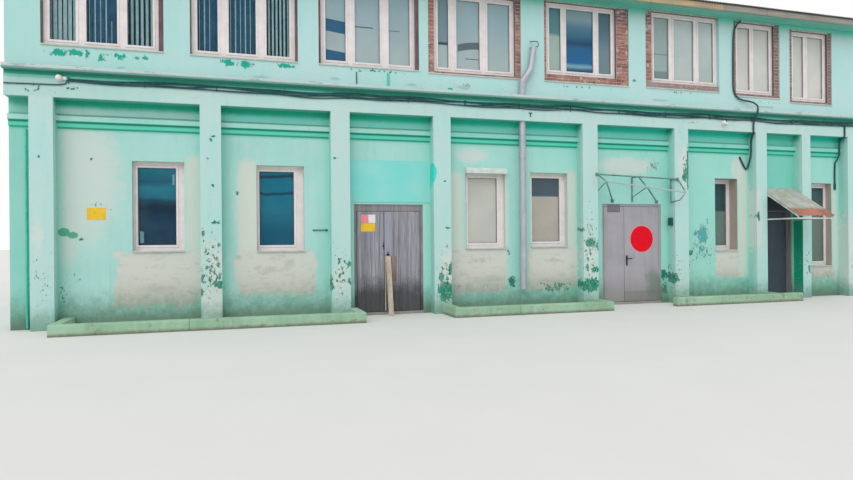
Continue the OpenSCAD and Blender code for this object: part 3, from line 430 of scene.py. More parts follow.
def bayPlaster():
    paint = Plaster("bayPlaster", plaster["mint"], 0xA0D3CB)
    along = paint.ease(paint.x, -6.5, 5.5)
    paint.over(along, plaster["strong"], 0.5)
    paint.rise(paint.spots(bayMarks["pale"], paint.ragged * 0.5), 0.4, 0.7, plaster["pale"], 0.85)
    # painted shade: the bays turn a stronger green in the corners beside each pilaster
    sideGap = reduce(paint.smallest, [abs(paint.x - (pilasterLeft(i) + width / 2)) - width / 2
                                      for i, width in enumerate(plan["pilasters"])])
    paint.over(paint.ease(sideGap + paint.ragged * 0.12, 0.0, 0.16, 0.5, 0.0), plaster["strong"])
    paint.rise(paint.boxes(bayMarks["paleBoxes"], paint.ragged * 0.1), -0.05, 0.08, 0xCED4C8, 0.85)
    # painted shade under the beam: a stronger, bluer green from the moulding's top upward, and a dark green band at
    # the bay's top
    paint.rise(paint.level(0.04), 3.53, 3.76, plaster["strong"], 0.4)
    paint.over(paint.ease(paint.z, 3.53, 3.6) * paint.ease(paint.x, -6.2, -5.6), 0x3CD6C4, 0.5)
    paint.rise(paint.level(0.06), 3.64, 3.75, paint.mix(along, 0x00A888, 0x00C4AE))
    # painted shade along the moulding: a green fade and a dark green line under its foot, and a dark line at its top
    paint.band(paint.z, 3.29, 3.352, 0.03, 0x3CCDB0, 0.25)
    paint.band(paint.z, 3.325, 3.36, 0.008, 0x00A084, 0.75)
    paint.band(paint.z, 3.545, 3.575, 0.006, 0x468276, 0.6)
    bareEdge = (paint.mottle - 0.5) * 0.4 + paint.ragged * 0.12
    bare = paint.ease(paint.boxes(bayMarks["bareBoxes"], bareEdge), -0.01, 0.05)
    paint.over(bare, plaster["bare"], drop=0.25)
    paint.over(bare * paint.ease(paint.noise(3.4, 5, 0.7, (1, 1, 2.2), (6, 1, 1)), 0.5, 0.7), 0xA4A49A, 0.4)
    paint.over(bare * paint.ease(paint.level(0.3), 0.95, 0.45), 0xA8A496, 0.35)
    stain = paint.spots(bayMarks["stain"], paint.ragged * 1.4 + paint.fine * 0.3)
    paint.rise(stain, 0.55, 1.0, 0x9C9E92, 0.4)
    paint.chips(bayMarks["flakes"])
    paint.chips(bayMarks["chips"], 0.85)
    paint.chips(bayMarks["blue"], 0.85, 0x40989C)
    paint.rise(paint.spots(bayMarks["blob"], paint.ragged * 0.35), 0.6, 0.8, 0x189C74, 0.85)
    paint.rise(paint.x, -8.6, -8.64, 0x70C4B4, 0.5)
    paint.band(paint.x, 6.19, 7.24, 0.01, 0x54C0AE, 0.55)
    reveal = paint.inner() * paint.ease(paint.y, -4.497, -4.487) * paint.ease(paint.z, 3.0, 2.95)
    paint.over(reveal, 0xCAD0C6, 0.8)
    paint.over(reveal * paint.ease(paint.x, 4.9, 4.95), 0xAC9C92, 0.9)
    paint.rise(paint.level(0.6), 0.72, 0.1, 0x54846A, 0.75)
    paint.rise(paint.level(0.25), 0.3, 0.0, plaster["dirt"], 0.7)
    return paint.close()


def pilasterPlaster():
    paint = Plaster("pilasterPlaster", 0xBCD6D2, 0xB0D8D4)
    paint.rise(paint.z, 3.5, 1.2, plaster["mint"], 0.25)
    paint.rise(paint.x, 4.5, 8.8, plaster["mint"], 0.35)
    side = paint.ease(abs(paint.y) + paint.ragged * 0.04, 4.735, 4.6)  # painted shade: the sides are greener, and dark green up under the beam
    front = paint.y < 0.0
    paint.over(side, 0x78CEBA, 0.5)
    paint.over(side * paint.ease(paint.level(0.05), 3.6, 3.78), plaster["shade"])
    # painted shade: the left face of the pilaster right of the side door is deep green below about 2 m, under the
    # canopy
    canopyShadeCheek = front * paint.between(paint.x, pilasterLeft(7) - 0.05, pilasterLeft(7) + 0.01, 0.003)
    paint.over(canopyShadeCheek * paint.ease(paint.level(0.15), 2.25, 1.95), 0x009C78)
    turquoise = paint.spots(pilasterMarks["turquoise"], paint.ragged * 0.5 + paint.fine * 0.12)
    paint.over(front * paint.ease(turquoise, 0.6, 0.68), 0x00D4C4, 0.9)
    bare = paint.spots(pilasterMarks["bare"], paint.ragged * 0.9)
    paint.rise(bare, 0.45, 0.58, 0xCED8D2, 0.8, 0.2)
    paint.chips(pilasterMarks["flakes"], 1, 0x00846A)
    paint.chips(pilasterMarks["chips"], 0.9)
    paint.rise(paint.level(0.5), 0.5, 0.0, 0x608C76, 0.75)
    return paint.close()


def beamPlaster():
    paint = Plaster("beamPlaster", 0xBED8D4, 0xB2D6D1)
    paint.rise(paint.x, -5.5, -8.5, 0xA6D0C8, 0.6)
    inner = paint.inner()
    # painted shade: a green band at the beam's top under the ledge and the cables, deepest right under the ledge
    paint.over(inner * paint.ease(paint.level(0.05), 4.075, 4.15), 0x00A082, 0.9)
    paint.over(inner * paint.ease(paint.level(0.03), 4.15, 4.19), 0x008068, 0.6)
    # a painted highlight: a pale line across the shaded band
    paint.over(inner * paint.between(paint.level(0.02), 4.114, 4.144, 0.006), 0x78D4C8, 0.85)
    # painted shade on the beam's underside
    paint.over(inner * paint.ease(abs(paint.y), 4.74, 4.66), plaster["shade"], 0.8)
    paint.rise(paint.noise(4, 5, 0.7, (0.6, 1, 6), (2, 0, 5)), 0.6, 0.68, 0x78A89E, 0.35)
    paint.chips([(-8.0, 3.95, 0.2, 0.03, 0.8), (-8.45, 3.92, 0.3, 0.12, 0.62), (4.2, 3.95, 0.3, 0.06, 0.55)])
    return paint.close()


def upperPlaster():
    paint = Plaster("upperPlaster", 0xB8D8D7, 0xACD8D4)
    paint.rise(paint.x, -5.0, -8.8, 0xA0D4CB, 0.45)
    # painted shade under the eaves: the wall's top turns green
    paint.rise(paint.level(0.1), 6.1, 6.36, 0x28BEA0, 0.85)
    paint.rise(paint.spots(upperMarks["grey"], paint.ragged * 0.8), 0.5, 0.75, 0x96ACA8, 0.6)
    broken = paint.ease(paint.noise(1.6, 3, 0.6, shift=(0, 4, 0)), 0.36, 0.5)
    # a dark, broken line along the wall just above the ledge
    ledgeFootLine = paint.between(paint.level(0.05) + paint.fine * 0.006, 4.296, 4.322, 0.008)
    paint.over(ledgeFootLine * broken, 0x607A76, 0.75)
    paint.chips(upperMarks["chips"], 0.9)
    paint.chips(upperMarks["teal"], 1, 0x00A692)
    return paint.close(depth=0.005)


def ledgePlaster():
    paint = Plaster("ledgePlaster", 0xC6CFCF, 0xB8CCC9)
    # painted shade: dark green on the ledge's lower edge and underside
    paint.rise(paint.level(0.02), 4.256, 4.226, 0x288C7C, 0.8)
    paint.rise(paint.noise(3, 5, 0.7, (1, 1, 4), (7, 0, 0)), 0.56, 0.66, 0x7A948E, 0.6, 0.2)
    # painted shade: darker where the ledge runs back to the wall
    paint.rise(abs(paint.y) + paint.ragged * 0.03, 4.74, 4.7, 0x78928C, 0.5)
    return paint.close(0.82, 0.005)


def mouldingPlaster():
    paint = Plaster("mouldingPlaster", 0xAAD8CE, 0x96D6C6)
    paint.rise(paint.x, -4.0, 0.0, 0x46CABA, 0.4)
    # painted shade: a dark green line in the gap between the steps, green on the lower step and at the foot, and a
    # dark line at the top
    paint.band(paint.z, 3.412, 3.452, 0.008, 0x009E84, 0.95)
    paint.rise(paint.z, 3.414, 3.404, 0x32CEB0, 0.75)
    paint.rise(paint.z, 3.378, 3.352, 0x1EC4A4, 0.6)
    paint.rise(paint.z, 3.52, 3.545, 0x509282, 0.65)
    paint.rise(paint.noise(5, 4, 0.7, (0.5, 1, 5), (2, 7, 0)), 0.6, 0.7, 0x6EA094, 0.35)
    return paint.close(0.78, 0.003)


def endPlaster():  # back and end walls, weathered but whole
    paint = Plaster("endPlaster", plaster["mint"], 0xACD2CA)
    paint.rise(paint.noise(1.6, 5, 0.7, (1, 1, 0.6), (9, 3, 0)), 0.58, 0.68, plaster["pale"], 0.6)
    worn = paint.noise(2.2, 6, 0.75, shift=(2, 8, 1)) + paint.ease(paint.z, 3, 0) * 0.08
    paint.rise(worn, 0.69, 0.71, plaster["old"], drop=0.4)
    paint.rise(paint.level(0.5), 0.55, 0.0, 0x608870, 0.75)
    # painted shade under the eaves of the back wall
    paint.over(paint.ease(paint.y, 4.2, 4.4) * paint.ease(paint.level(0.1), 6.12, 6.4), 0x3CB496, 0.5)
    return paint.close()


def kerbPaint():
    paint = Plaster("kerbPaint", 0x9EC0A4, 0x88AC8E)
    paint.rise(paint.noise(6, 5, 0.7, shift=(5, 5, 5)), 0.56, 0.66, 0x828070, 0.7, 0.35)
    paint.rise(paint.level(0.06), 0.07, 0.0, 0x685C4C, 0.85)
    return paint.close(0.85, 0.004)


def speckled(name, first, second, scale=20, rough=0.6, depth=0.001, stretch=(1, 1, 1), **steady):
    # two tones in soft clouds with a fine grain in the surface
    finish = Finish(name, **steady)
    cloud = finish.noise(scale, 4, 0.6, stretch)
    fine = finish.noise(90, 2, 0.6, stretch, (3.1, 1.7, 0.4))
    finish.base(cloud * 0.75 + fine * 0.25, first, second, 0.34)
    return finish.dress(finish.ease(fine, 0.2, 0.8, rough - 0.08, rough + 0.08), cloud * 0.5 + fine * 0.5, depth)


def boardFinish(name, first, second, boardWide, along):
    # painted boards that run along X or Y, with joints between them
    finish = Finish(name)
    grain = finish.noise(3, 4, 0.6, (0.5, 14, 14) if along == "x" else (14, 0.5, 14))
    finish.base(grain * 0.6 + finish.noise(1.4, 3) * 0.4, first, second)
    across = finish.y if along == "x" else finish.x
    joint = abs(finish.maths("FRACT", across / boardWide) - 0.5) > 0.47
    finish.over(joint, 0x323E38, 0.75)
    return finish.dress((grain, 0.7, 0.85), grain * 0.3 - joint, 0.004)


def eavesBoards():
    finish = Finish("eavesBoards")
    grain = finish.noise(3, 4, 0.65, (0.6, 14, 16))
    cloud = finish.noise(1.1, 4, 0.6)
    tone = finish.ease(grain * 0.5 + cloud * 0.5, 0.38, 0.62)
    tan = finish.mix(tone, 0xC4AC80, 0xA0927A)
    grey = finish.mix(tone, 0xA09C92, 0x88827A)
    finish.colour = finish.blend(finish.x, 4.72, 4.74, tan, grey)
    finish.rise(finish.z + (cloud - 0.5) * 0.06, 6.375, 6.335, 0x586E60, 0.35)
    joint = abs(finish.maths("FRACT", (finish.x + 9.1) / 3.0) - 0.5) > 0.4985
    finish.over(joint, 0x3C342C)
    return finish.dress((grain, 0.7, 0.85), grain - joint, 0.003)


def brickFinish():
    finish = Finish("brickFaces")
    each = finish.add("ShaderNodeTexVoronoi", {"feature": "F1"},
                      {"Vector": finish.stretched((4.2, 4.2, 13.5)), "Scale": 1}, pick="Color")
    tone = finish.add("ShaderNodeSeparateColor", None, {0: each})
    grain = finish.noise(60, 4, 0.7)
    cloud = finish.noise(7, 3)
    finish.colour = finish.ramp(tone * 0.6 + cloud * 0.4, [
        (0.2, 0x7A504C), (0.45, 0x9A665C), (0.7, 0xAC7E74), (0.9, 0x927470)])
    finish.rise(grain, 0.52, 0.72, 0xC4ACA0, 0.4)
    finish.rise(finish.z + (cloud - 0.5) * 0.5, 5.75, 6.2, 0x684A5C, 0.55)
    smears = finish.ease(finish.noise(8, 4, 0.65, (1, 1, 1.6), (4, 4, 1)), 0.57, 0.64)
    finish.over(smears * finish.ease(finish.x, -2.0, 3.0, 0.7, 0.85), 0xC4BAB2)
    finish.rise(finish.x, 4.9, 5.2, 0x7A6662, 0.6)
    underSixth = finish.ease(finish.z, 4.8, 4.78) * finish.between(finish.x, 2.9, 5.1, 0.01)
    finish.over(underSixth, 0x96908C, 0.6)
    return finish.dress((grain, 0.8, 0.95), grain * 0.7 + cloud * 0.3, 0.004)


def mortarFinish():  # pale in the joints, with painted shade where it runs back to the frames
    finish = Finish("mortar")
    grain = finish.noise(26, 4, 0.7)
    finish.base(grain, 0xC4B8AE, 0x9E8E84)
    finish.rise(finish.y, -4.66, -4.645, 0x4A4448, 0.85)
    return finish.dress((grain, 0.88, 0.98), grain, 0.003)


def woodFinish(name, pale, dark, low=None):  # weathered boards, darker below the given height
    finish = Finish(name)
    board = finish.noise(1, 1, 0.4, (13, 13, 0.05))
    grain = finish.noise(2, 5, 0.7, (34, 34, 0.9), (0, 0, 3))
    cracks = finish.noise(3, 3, 0.6, (46, 46, 0.5), (5, 0, 0))
    finish.base(board * 0.4 + grain * 0.6, pale, dark)
    finish.rise(cracks, 0.62, 0.7, 0x3E3C3E, 0.7)
    if low:
        finish.rise(finish.z + (finish.noise(4, 4, 0.65) - 0.5) * 0.5, low, low - 0.5, 0x323234, 0.85)
    return finish.dress((grain, 0.7, 0.88), grain * 0.6 - finish.ease(cracks, 0.6, 0.7) * 0.6, 0.003)


def sideFrameWood():  # grey-brown posts, and a head board painted dark blue-grey as the deep shade it lies in
    finish = Finish("sideFrameWood")
    grain = finish.noise(2, 5, 0.7, (34, 34, 0.9), (0, 0, 3))
    finish.base(grain, 0x6E6A70, 0x545258)
    finish.rise(finish.z, 2.02, 2.06, 0x2C3844)
    return finish.dress((grain, 0.7, 0.88), grain, 0.003)


def canopyBars():  # dark bars at the wall, and a paler rail in front
    finish = Finish("canopyBars", Metallic=0.2)
    cloud = finish.noise(6, 5, 0.65)
    fine = finish.noise(40, 4, 0.7)
    finish.base(cloud, 0x789694, 0x5C7A78, 0.4)
    finish.rise(finish.y, -4.95, -5.1, 0xD0DCD8, 0.75)
    finish.rise(fine, 0.6, 0.7, 0x826858, 0.5)
    return finish.dress((fine, 0.5, 0.75), cloud * 0.5 + fine * 0.5)


def steelDoorPaint():
    finish = Finish("steelDoorPaint", Metallic=0.1)
    cloud = finish.noise(2.2, 4, 0.6)
    streaks = finish.noise(1, 4, 0.6, (16, 16, 0.6))
    finish.base(cloud * 0.5 + streaks * 0.5, 0xAAA4AC, 0x9E9CA0, 0.38)
    finish.rise(finish.z + (cloud - 0.5) * 0.5, 0.72, 0.06, 0x76766E, 0.55)
    belowSeam = finish.ease(finish.z, 0.284, 0.27) * finish.ease(finish.x, 2.6, 2.61)  # on the main leaf
    finish.over(belowSeam, 0x706E66, 0.4)
    finish.rise(finish.spots([(3.34, 0.3, 0.28, 0.4)], (cloud - 0.5) * 1.2), 0.5, 0.9, 0x5C7662, 0.55)
    rust = finish.noise(14, 5, 0.75, shift=(2, 0, 0)) + finish.ease(finish.z, 0.5, 0) * 0.05
    finish.rise(rust, 0.68, 0.74, 0x785C50, 0.6)
    return finish.dress((cloud, 0.42, 0.58), cloud * 0.8 + finish.noise(70, 2) * 0.1, 0.004)


def rustySheet(name, pale, second, front=None, flow=(1, 1, 1)):
    finish = Finish(name, Metallic=0.3)
    cloud = finish.noise(3, 5, 0.65, flow)
    fine = finish.noise(40, 4, 0.7)
    finish.base(cloud, pale, second, 0.4)
    finish.rise(finish.noise(12, 5, 0.75, shift=(3, 1, 2)), 0.62, 0.74, 0xA08470, 0.4)
    if front is not None:  # a strip of rust along the front edge
        rust = finish.blend(fine * 0.5 + cloud * 0.5, 0.35, 0.65, 0xC47C62, 0x965846)
        finish.rise(finish.y + (cloud - 0.5) * 0.25, front + 0.34, front + 0.22, rust, 0.92)
    return finish.dress((fine, 0.5, 0.75), cloud * 0.5 + fine * 0.5, 0.003)


def glassFinish(name, paintPanes):
    # tinted panes with faint clouds, a wavy surface and dust; paintPanes sets the colour and gives the cover
    finish = Finish(name, **{"IOR": 1.45, "Specular IOR Level": 0.22})
    cover = paintPanes(finish)
    cloud = finish.noise(1.6, 3, 0.5)
    finish.rise(cloud, 0.35, 0.65, 0x5A787C, 0.14)
    dust = finish.ease(finish.noise(30, 3), 0.4, 0.8, 0.06, 0.16)
    wave = finish.noise(3.5, 2, 0.5, shift=(2, 2, 2))
    return finish.dress(dust, wave, Alpha=finish.ease(cloud, 0.0, 1.0, 0.97, 1.03) * cover)


def backPanes(finish):
    finish.colour = 0x3C6474
    return 0.6


def groundPanes(finish):
    # what the dark panes mirror, painted in bands: bright teal above, navy below, a paler stripe between
    wobble = (finish.noise(2.4, 3, 0.5, (1, 1, 2)) - 0.5) * 0.16
    height = finish.z + wobble
    first = finish.ramp((height - 1.3) / 1.5, [
        (0.0, 0x082E48), (0.3, 0x0A3450), (0.5, 0x06283E), (0.56, 0x043E54), (0.6, 0x066A80),
        (0.72, 0x0A7488), (0.8, 0x02546C), (0.95, 0x0C788C)])
    # painted reflections: two darker stripes across the panes
    streaks = finish.between(height, 2.28, 2.33, 0.02) + finish.between(height, 2.58, 2.64, 0.015)
    second = finish.blend(height, 1.5, 2.1, 0x025470, 0x066C86)
    finish.colour = finish.blend(finish.x, -6.0, -5.9, first, finish.mix(streaks, second, 0x043C52))
    shine = finish.boxes([(-6.5, -6.44, 2.42, 2.62), (-7.03, -6.95, 1.4, 1.62)],
                         (finish.noise(12, 2) - 0.5) * 0.03, 0.01)
    finish.rise(shine, 0.0, 0.02, 0x8CBEC4, 0.6)
    beige = finish.blend(finish.z, 2.3, 2.32, 0xCCC4BA, 0x5C6C7A)
    low = finish.z + wobble * 0.3
    finish.over(finish.x > -2.0, finish.blend(finish.x, -0.35, -0.25, 0xDEDED6, beige))
    finish.over(finish.x > 3.0, finish.blend(low, 2.0, 2.05, 0x789288, 0x3C5C62))
    finish.over(finish.x > 6.5, finish.blend(finish.z, 1.9, 1.96, 0x7C8C86, 0x4A6A68))
    return finish.ease(finish.x, -2.0, -1.9, 0.97, 0.62)


def upperPanes(finish):
    # what the panes mirror: pale sky over the middle windows with darker bands, blue in the fifth window
    wobble = (finish.noise(2.0, 3, 0.5, (1, 1, 2.5)) - 0.5) * 0.12
    height, waved = finish.z + wobble * 0.4, finish.z + wobble
    slope = finish.z + (finish.x + 3.6) * 0.12
    arc = finish.z + (finish.x + 0.75) * (finish.x + 0.75) * 0.35

    def patch(x0, x1, z0, z1, soft=0.02, way=finish.z):
        return finish.between(finish.x, x0, x1, 0.01) * finish.between(way, z0, z1, soft)
    left = finish.blend(waved, 4.8, 6.0, 0x285A70, 0x2C647C)
    grey = finish.ramp((height - 4.7) / 1.6, [
        (0.0, 0xB4C4C4), (0.3, 0xAABCC0), (0.6, 0xA0BAC2), (0.95, 0xA6C0C8)])
    blue = finish.ramp((height - 4.9) / 1.2, [
        (0.0, 0x183C5A), (0.05, 0x3C6E8C), (0.1, 0x80B0C4), (0.16, 0x22689C), (0.42, 0x1C628E),
        (0.5, 0x164268), (0.6, 0x2E6486), (0.78, 0x548098), (0.92, 0x8CA8B2)])
    green = finish.blend(waved, 5.6, 5.7, 0xA8BEB6, 0x5C8A94)
    dark = finish.blend(finish.z, 5.3, 5.9, 0x768C96, 0x567684)
    pale = finish.blend(waved, 4.9, 6.2, 0xBCC8C4, 0xC8D6D6)
    finish.colour = finish.mix(finish.x > -4.1, left, grey)
    bands = patch(-3.83, -3.4, 5.3, 5.53, 0.006, slope) + patch(-3.83, -3.4, 4.4, 4.955, 0.006, slope)
    finish.over(bands, 0x286286)
    lines = patch(-3.27, -2.9, 5.432, 5.452, 0.004) + patch(-2.61, -2.38, 5.414, 5.426, 0.004)
    finish.over(lines + patch(-1.05, -0.7, 4.99, 5.005, 0.004), 0x405A62)
    finish.over(patch(-1.65, -1.4, 5.25, 6.4, 0.05), 0x5C7888, 0.6)
    finish.over(patch(-1.65, -1.4, 5.24, 5.29, 0.015), 0x3C4C56)
    finish.over(patch(-1.2, -0.7, 5.2, 5.34, 0.008, arc), 0x4E5C64, 0.85)
    for start, tone in ((0.3, green), (1.1, blue), (1.88, dark), (3.0, pale)):
        finish.over(finish.x > start, tone)
    sixth = finish.mix(patch(3.28, 3.7, 4.9, 5.06), 0x96ACAE, 0x5C787E)
    sixth = finish.mix(patch(3.28, 3.7, 5.42, 5.44, 0.006), sixth, 0x4C666C)
    finish.band(finish.x, 3.28, 3.7, 0.01, sixth, 0.75)
    finish.over(finish.x > 5.2, 0xE8EAE2)
    covers = [(0.0, 0.14), (0.272, 0.86), (0.52, 0.9), (0.66, 0.88), (0.78, 0.6)]  # from left to right
    return finish.ramp((finish.x + 9) / 18, [(place, (c, c, c, 1)) for place, c in covers], steps=True)


for make in (bayPlaster, pilasterPlaster, beamPlaster, upperPlaster, ledgePlaster, mouldingPlaster, endPlaster,
             kerbPaint, eavesBoards, brickFinish, mortarFinish, steelDoorPaint, sideFrameWood, canopyBars):
    make()
boardFinish("ceilingBoards", 0xD6D4CA, 0xC4C2B8, 0.12, "y")
boardFinish("soffitBoards", 0x78C4B4, 0x5AB4A0, 0.1, "x")
rustySheet("roofSheets", 0x949997, 0x828785, flow=(1.6, 0.16, 0.5))
rustySheet("ridgeSheet", 0x868C8C, 0x767C7C)
rustySheet("canopySheet", 0xBEC0BC, 0xB0AC9E, -5.6)
glassFinish("groundGlass", groundPanes)
glassFinish("upperGlass", upperPanes)
glassFinish("backGlass", backPanes)
woodFinish("doorWood", 0xA6A4AC, 0x76747E, 0.85)
woodFinish("doorFrameWood", 0x969296, 0x747076, 0.7)
woodFinish("propWood", 0xC4B8A8, 0xA89A8A)
woodFinish("paleStripWood", 0xA0A0B0, 0x8A8A9A)
woodFinish("brownBoardWood", 0x96867C, 0x7C6C64, 0.9)
speckled("concrete", 0x96968E, 0x808078, 3, 0.9, 0.003)
speckled("battenWood", 0x686864, 0x545450, 5, 0.85, 0.002)
speckled("stripPaint", 0x7A5C60, 0x54464C, 5, 0.9, 0.003, (2, 2, 0.6))
speckled("hoodPlaster", 0xD6DCD6, 0xBECCC4, 5, 0.85, 0.003)
speckled("windowPlastic", 0xE8E0E0, 0xDCD4D2, 6, 0.35, 0.0006)
speckled("gasketRubber", 0x3A3C3C, 0x282A2A, 30, 0.7, 0.0004)
speckled("sillMetal", 0xC6CAC4, 0xB0B8B2, 8, 0.5, 0.001)
speckled("panelPaint", 0x78D6CE, 0x92D6D0, 1.6, 0.6, 0.003)
speckled("darkSteel", 0x2C363A, 0x1E262A, 20, 0.45, 0.0006, Metallic=0.6)
speckled("sideDoorPaint", 0x303E4C, 0x283440, 3, 0.5, 0.002, (1, 1, 0.4))
speckled("bracketSteel", 0xDEE4E2, 0xB0B8B6, 9, 0.55, 0.001, Metallic=0.15)
speckled("pipeMetal", 0xBABCC2, 0xA6AAB2, 4, 0.5, 0.0015, (1, 1, 0.5), Metallic=0.35)
speckled("lampPlastic", 0xECE6E2, 0xDED6D2, 12, 0.35, 0.0004)
speckled("cableSheath", 0x064046, 0x145C5C, 12, 0.6, 0.0006)
speckled("darkCableSheath", 0x284A50, 0x1A3A40, 12, 0.6, 0.0006)
speckled("conduitPaint", 0x3CCEB0, 0x28BA9C, 8, 0.55, 0.0006)
speckled("switchPlastic", 0x145C52, 0x0C4640, 30, 0.5, 0.0006)
speckled("yellowPlate", 0xF0C418, 0xE2B01E, 12, 0.45, 0.0005)
speckled("redPlate", 0xEE0022, 0xDE001C, 8, 0.55, 0.0005, **{"Specular IOR Level": 0.15})
speckled("pinkPlate", 0xEC969C, 0xDC8088, 30, 0.5, 0.0004)
speckled("whitePlate", 0xECE6E8, 0xDED6DA, 30, 0.45, 0.0004)
speckled("louvreSteel", 0x8A868C, 0x78747A, 30, 0.55, 0.0005, Metallic=0.3)
speckled("blindCloth", 0xC4E2E2, 0xA8CCCC, 9, 0.8, 0.0006)
speckled("creamBlindCloth", 0xF6F6EC, 0xECEADE, 5, 0.8, 0.0008)
speckled("navyBlindCloth", 0x246080, 0x144668, 6, 0.7, 0.0006)

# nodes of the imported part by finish
nodeNames = {
    "bayPlaster": "front_wall door_head_walls", "pilasterPlaster": "pilasters", "beamPlaster": "facade_beams",
    "upperPlaster": "upper_front_wall", "ledgePlaster": "ledges", "mouldingPlaster": "bay_mouldings",
    "kerbPaint": "kerb_fronts kerb_returns", "endPlaster": "back_wall left_end_wall right_end_wall upper_back_wall",
    "concrete": "ground_floor upper_floor", "ceilingBoards": "ceiling", "soffitBoards": "soffits",
    "eavesBoards": "fascias verge_boards", "roofSheets": "front_roof back_roof", "ridgeSheet": "ridge_cap",
    "windowPlastic": "front_ground_frames front_upper_frames back_frames", "groundGlass": "front_ground_panes",
    "upperGlass": "front_upper_panes", "backGlass": "back_panes", "sillMetal": "window_sills",
    "mortar": "brick_infill", "hoodPlaster": "window_hood", "doorFrameWood": "wood_door_frame",
    "doorWood": "wood_left_leaf wood_right_leaf", "propWood": "prop_board", "panelPaint": "transom_panel",
    "steelDoorPaint": "steel_door_frame steel_side_leaf steel_main_leaf", "darkSteel": "steel_door_handle",
    "sideFrameWood": "side_door_frame", "sideDoorPaint": "side_door_leaf", "canopyBars": "canopy_frame",
    "canopySheet": "side_canopy_sheet", "bracketSteel": "side_canopy_brackets", "pipeMetal": "downpipe",
    "lampPlastic": "wall_lamps", "cableSheath": "cable_bundle", "switchPlastic": "switch_box",
}
for key, names in nodeNames.items():
    for name in names.split():
        nodes[name].data.materials.clear()
        nodes[name].data.materials.append(finishes[key])
print("finishes made:", len(finishes))


def finished(name, mesh, key, body="building", replaced=()):
    # puts a made mesh in the scene as a fine piece that rides on its body
    mesh.name = name
    if not mesh.materials:
        mesh.materials.append(finishes[key])
    piece = placed(name, mesh)
    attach(piece, body)
    if replaced:
        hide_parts(*replaced)


def smoothed(mesh, angle):
    mesh.polygons.foreach_set("use_smooth", [True] * len(mesh.polygons))
    mesh.set_sharp_from_angle(angle=math.radians(angle))
    return mesh


class Shape:  # gathers points and faces of one piece
    def __init__(self):
        self.points, self.faces = [], []

    def take(self, points, faces):
        start = len(self.points)
        self.points += [tuple(p) for p in points]
        self.faces += [tuple(start + i for i in face) for face in faces]

    def block(self, low, high, edge, place=Matrix()):
        # a box with chamfered edges; place turns and moves it afterwards
        size = [b - a for a, b in zip(low, high)]
        middle = Vector([(a + b) / 2 for a, b in zip(low, high)])
        shell = bmesh.new()
        bmesh.ops.create_cube(shell, size=1)
        bmesh.ops.scale(shell, vec=size, verts=shell.verts)
        bmesh.ops.bevel(shell, geom=shell.edges[:], offset=min(edge, min(size) * 0.4), segments=1, affect="EDGES",
                        profile=0.5)
        move = place @ Matrix.Translation(middle)
        shell.verts.ensure_lookup_table()
        self.take([move @ v.co for v in shell.verts], [[v.index for v in f.verts] for f in shell.faces])
        shell.free()

    def loft(self, rings, closed=False):
        # rings of equal length joined one to the next, with caps where the row is open
        count = len(rings[0])
        faces = []
        for r in range(len(rings) if closed else len(rings) - 1):
            s = (r + 1) % len(rings)
            for i in range(count):
                j = (i + 1) % count
                faces.append((r * count + i, r * count + j, s * count + j, s * count + i))
        if not closed:
            faces.append(tuple(reversed(range(count))))
            faces.append(tuple((len(rings) - 1) * count + i for i in range(count)))
        self.take([p for ring in rings for p in ring], faces)

    def border(self, left, right, low, high, section):
        # a mitred frame round an opening; section gives (way in from the edge, Y) points
        corners = [(left, low, 1, 1), (right, low, -1, 1), (right, high, -1, -1), (left, high, 1, -1)]
        self.loft([[(x + sx * way, y, z + sz * way) for way, y in section] for x, z, sx, sz in corners], True)

    def turned(self, middle, section, count):
        # a turned shape that stands out towards the front; section gives (radius, way out) points
        x, y, z = middle
        angles = [2 * math.pi * i / count for i in range(count)]
        self.loft([[(x + r * math.cos(a), y - out, z + r * math.sin(a)) for a in angles] for r, out in section])

    def mesh(self, name):
        mesh = bpy.data.meshes.new(name)
        mesh.from_pydata(self.points, [], self.faces)
        mesh.validate()
        shell = bmesh.new()
        shell.from_mesh(mesh)
        bmesh.ops.recalc_face_normals(shell, faces=shell.faces)
        shell.to_mesh(mesh)
        shell.free()
        return mesh


def nodeTree(name, **inputs):
    tree = bpy.data.node_groups.new(name, "GeometryNodeTree")
    for label, kind in inputs.items():
        tree.interface.new_socket(label, in_out="INPUT", socket_type="NodeSocket" + kind)
    tree.interface.new_socket("Result", in_out="OUTPUT", socket_type="NodeSocketGeometry")
    sheet = Sheet(tree)
    inlet = tree.nodes.new("NodeGroupInput")
    return sheet, SimpleNamespace(**{label: Wire(sheet, inlet.outputs[label]) for label in inputs})


def closeTree(sheet, result, finish):
    painted = sheet.grow("SetMaterial", Geometry=sheet.grow("RealizeInstances", Geometry=result), Material=finish)
    sheet.plug(painted, sheet.tree.nodes.new("NodeGroupOutput").inputs["Result"])
    return sheet.tree


def shared(sheet, name):
    return sheet.grow("InputNamedAttribute", settings={"data_type": "FLOAT_VECTOR"}, Name=name)


def laidParts():
    # one part on every place, each with its own size and turn, pushed a little by a fixed chance
    sheet, given = nodeTree("laidParts", Places="Geometry", Part="Object", Shift="Vector", Twist="Vector", Seed="Int",
                            Finish="Material")

    def chance(reach, seed):
        back = sheet.add("ShaderNodeVectorMath", {"operation": "SCALE"}, {0: reach, "Scale": -1.0})
        return sheet.add("FunctionNodeRandomValue", {"data_type": "FLOAT_VECTOR"}, {0: back, 1: reach, "Seed": seed})
    moved = sheet.grow("SetPosition", Geometry=given.Places, Offset=chance(given.Shift, given.Seed))
    turned = sheet.vectors("ADD", shared(sheet, "turn"), chance(given.Twist, given.Seed + 7))
    spin = sheet.add("FunctionNodeEulerToRotation", None, {0: turned})
    part = sheet.grow("ObjectInfo", "Geometry", Object=given.Part, As_Instance=True)
    laid = sheet.grow("InstanceOnPoints", Points=moved, Instance=part, Rotation=spin, Scale=shared(sheet, "size"))
    return closeTree(sheet, laid, given.Finish)


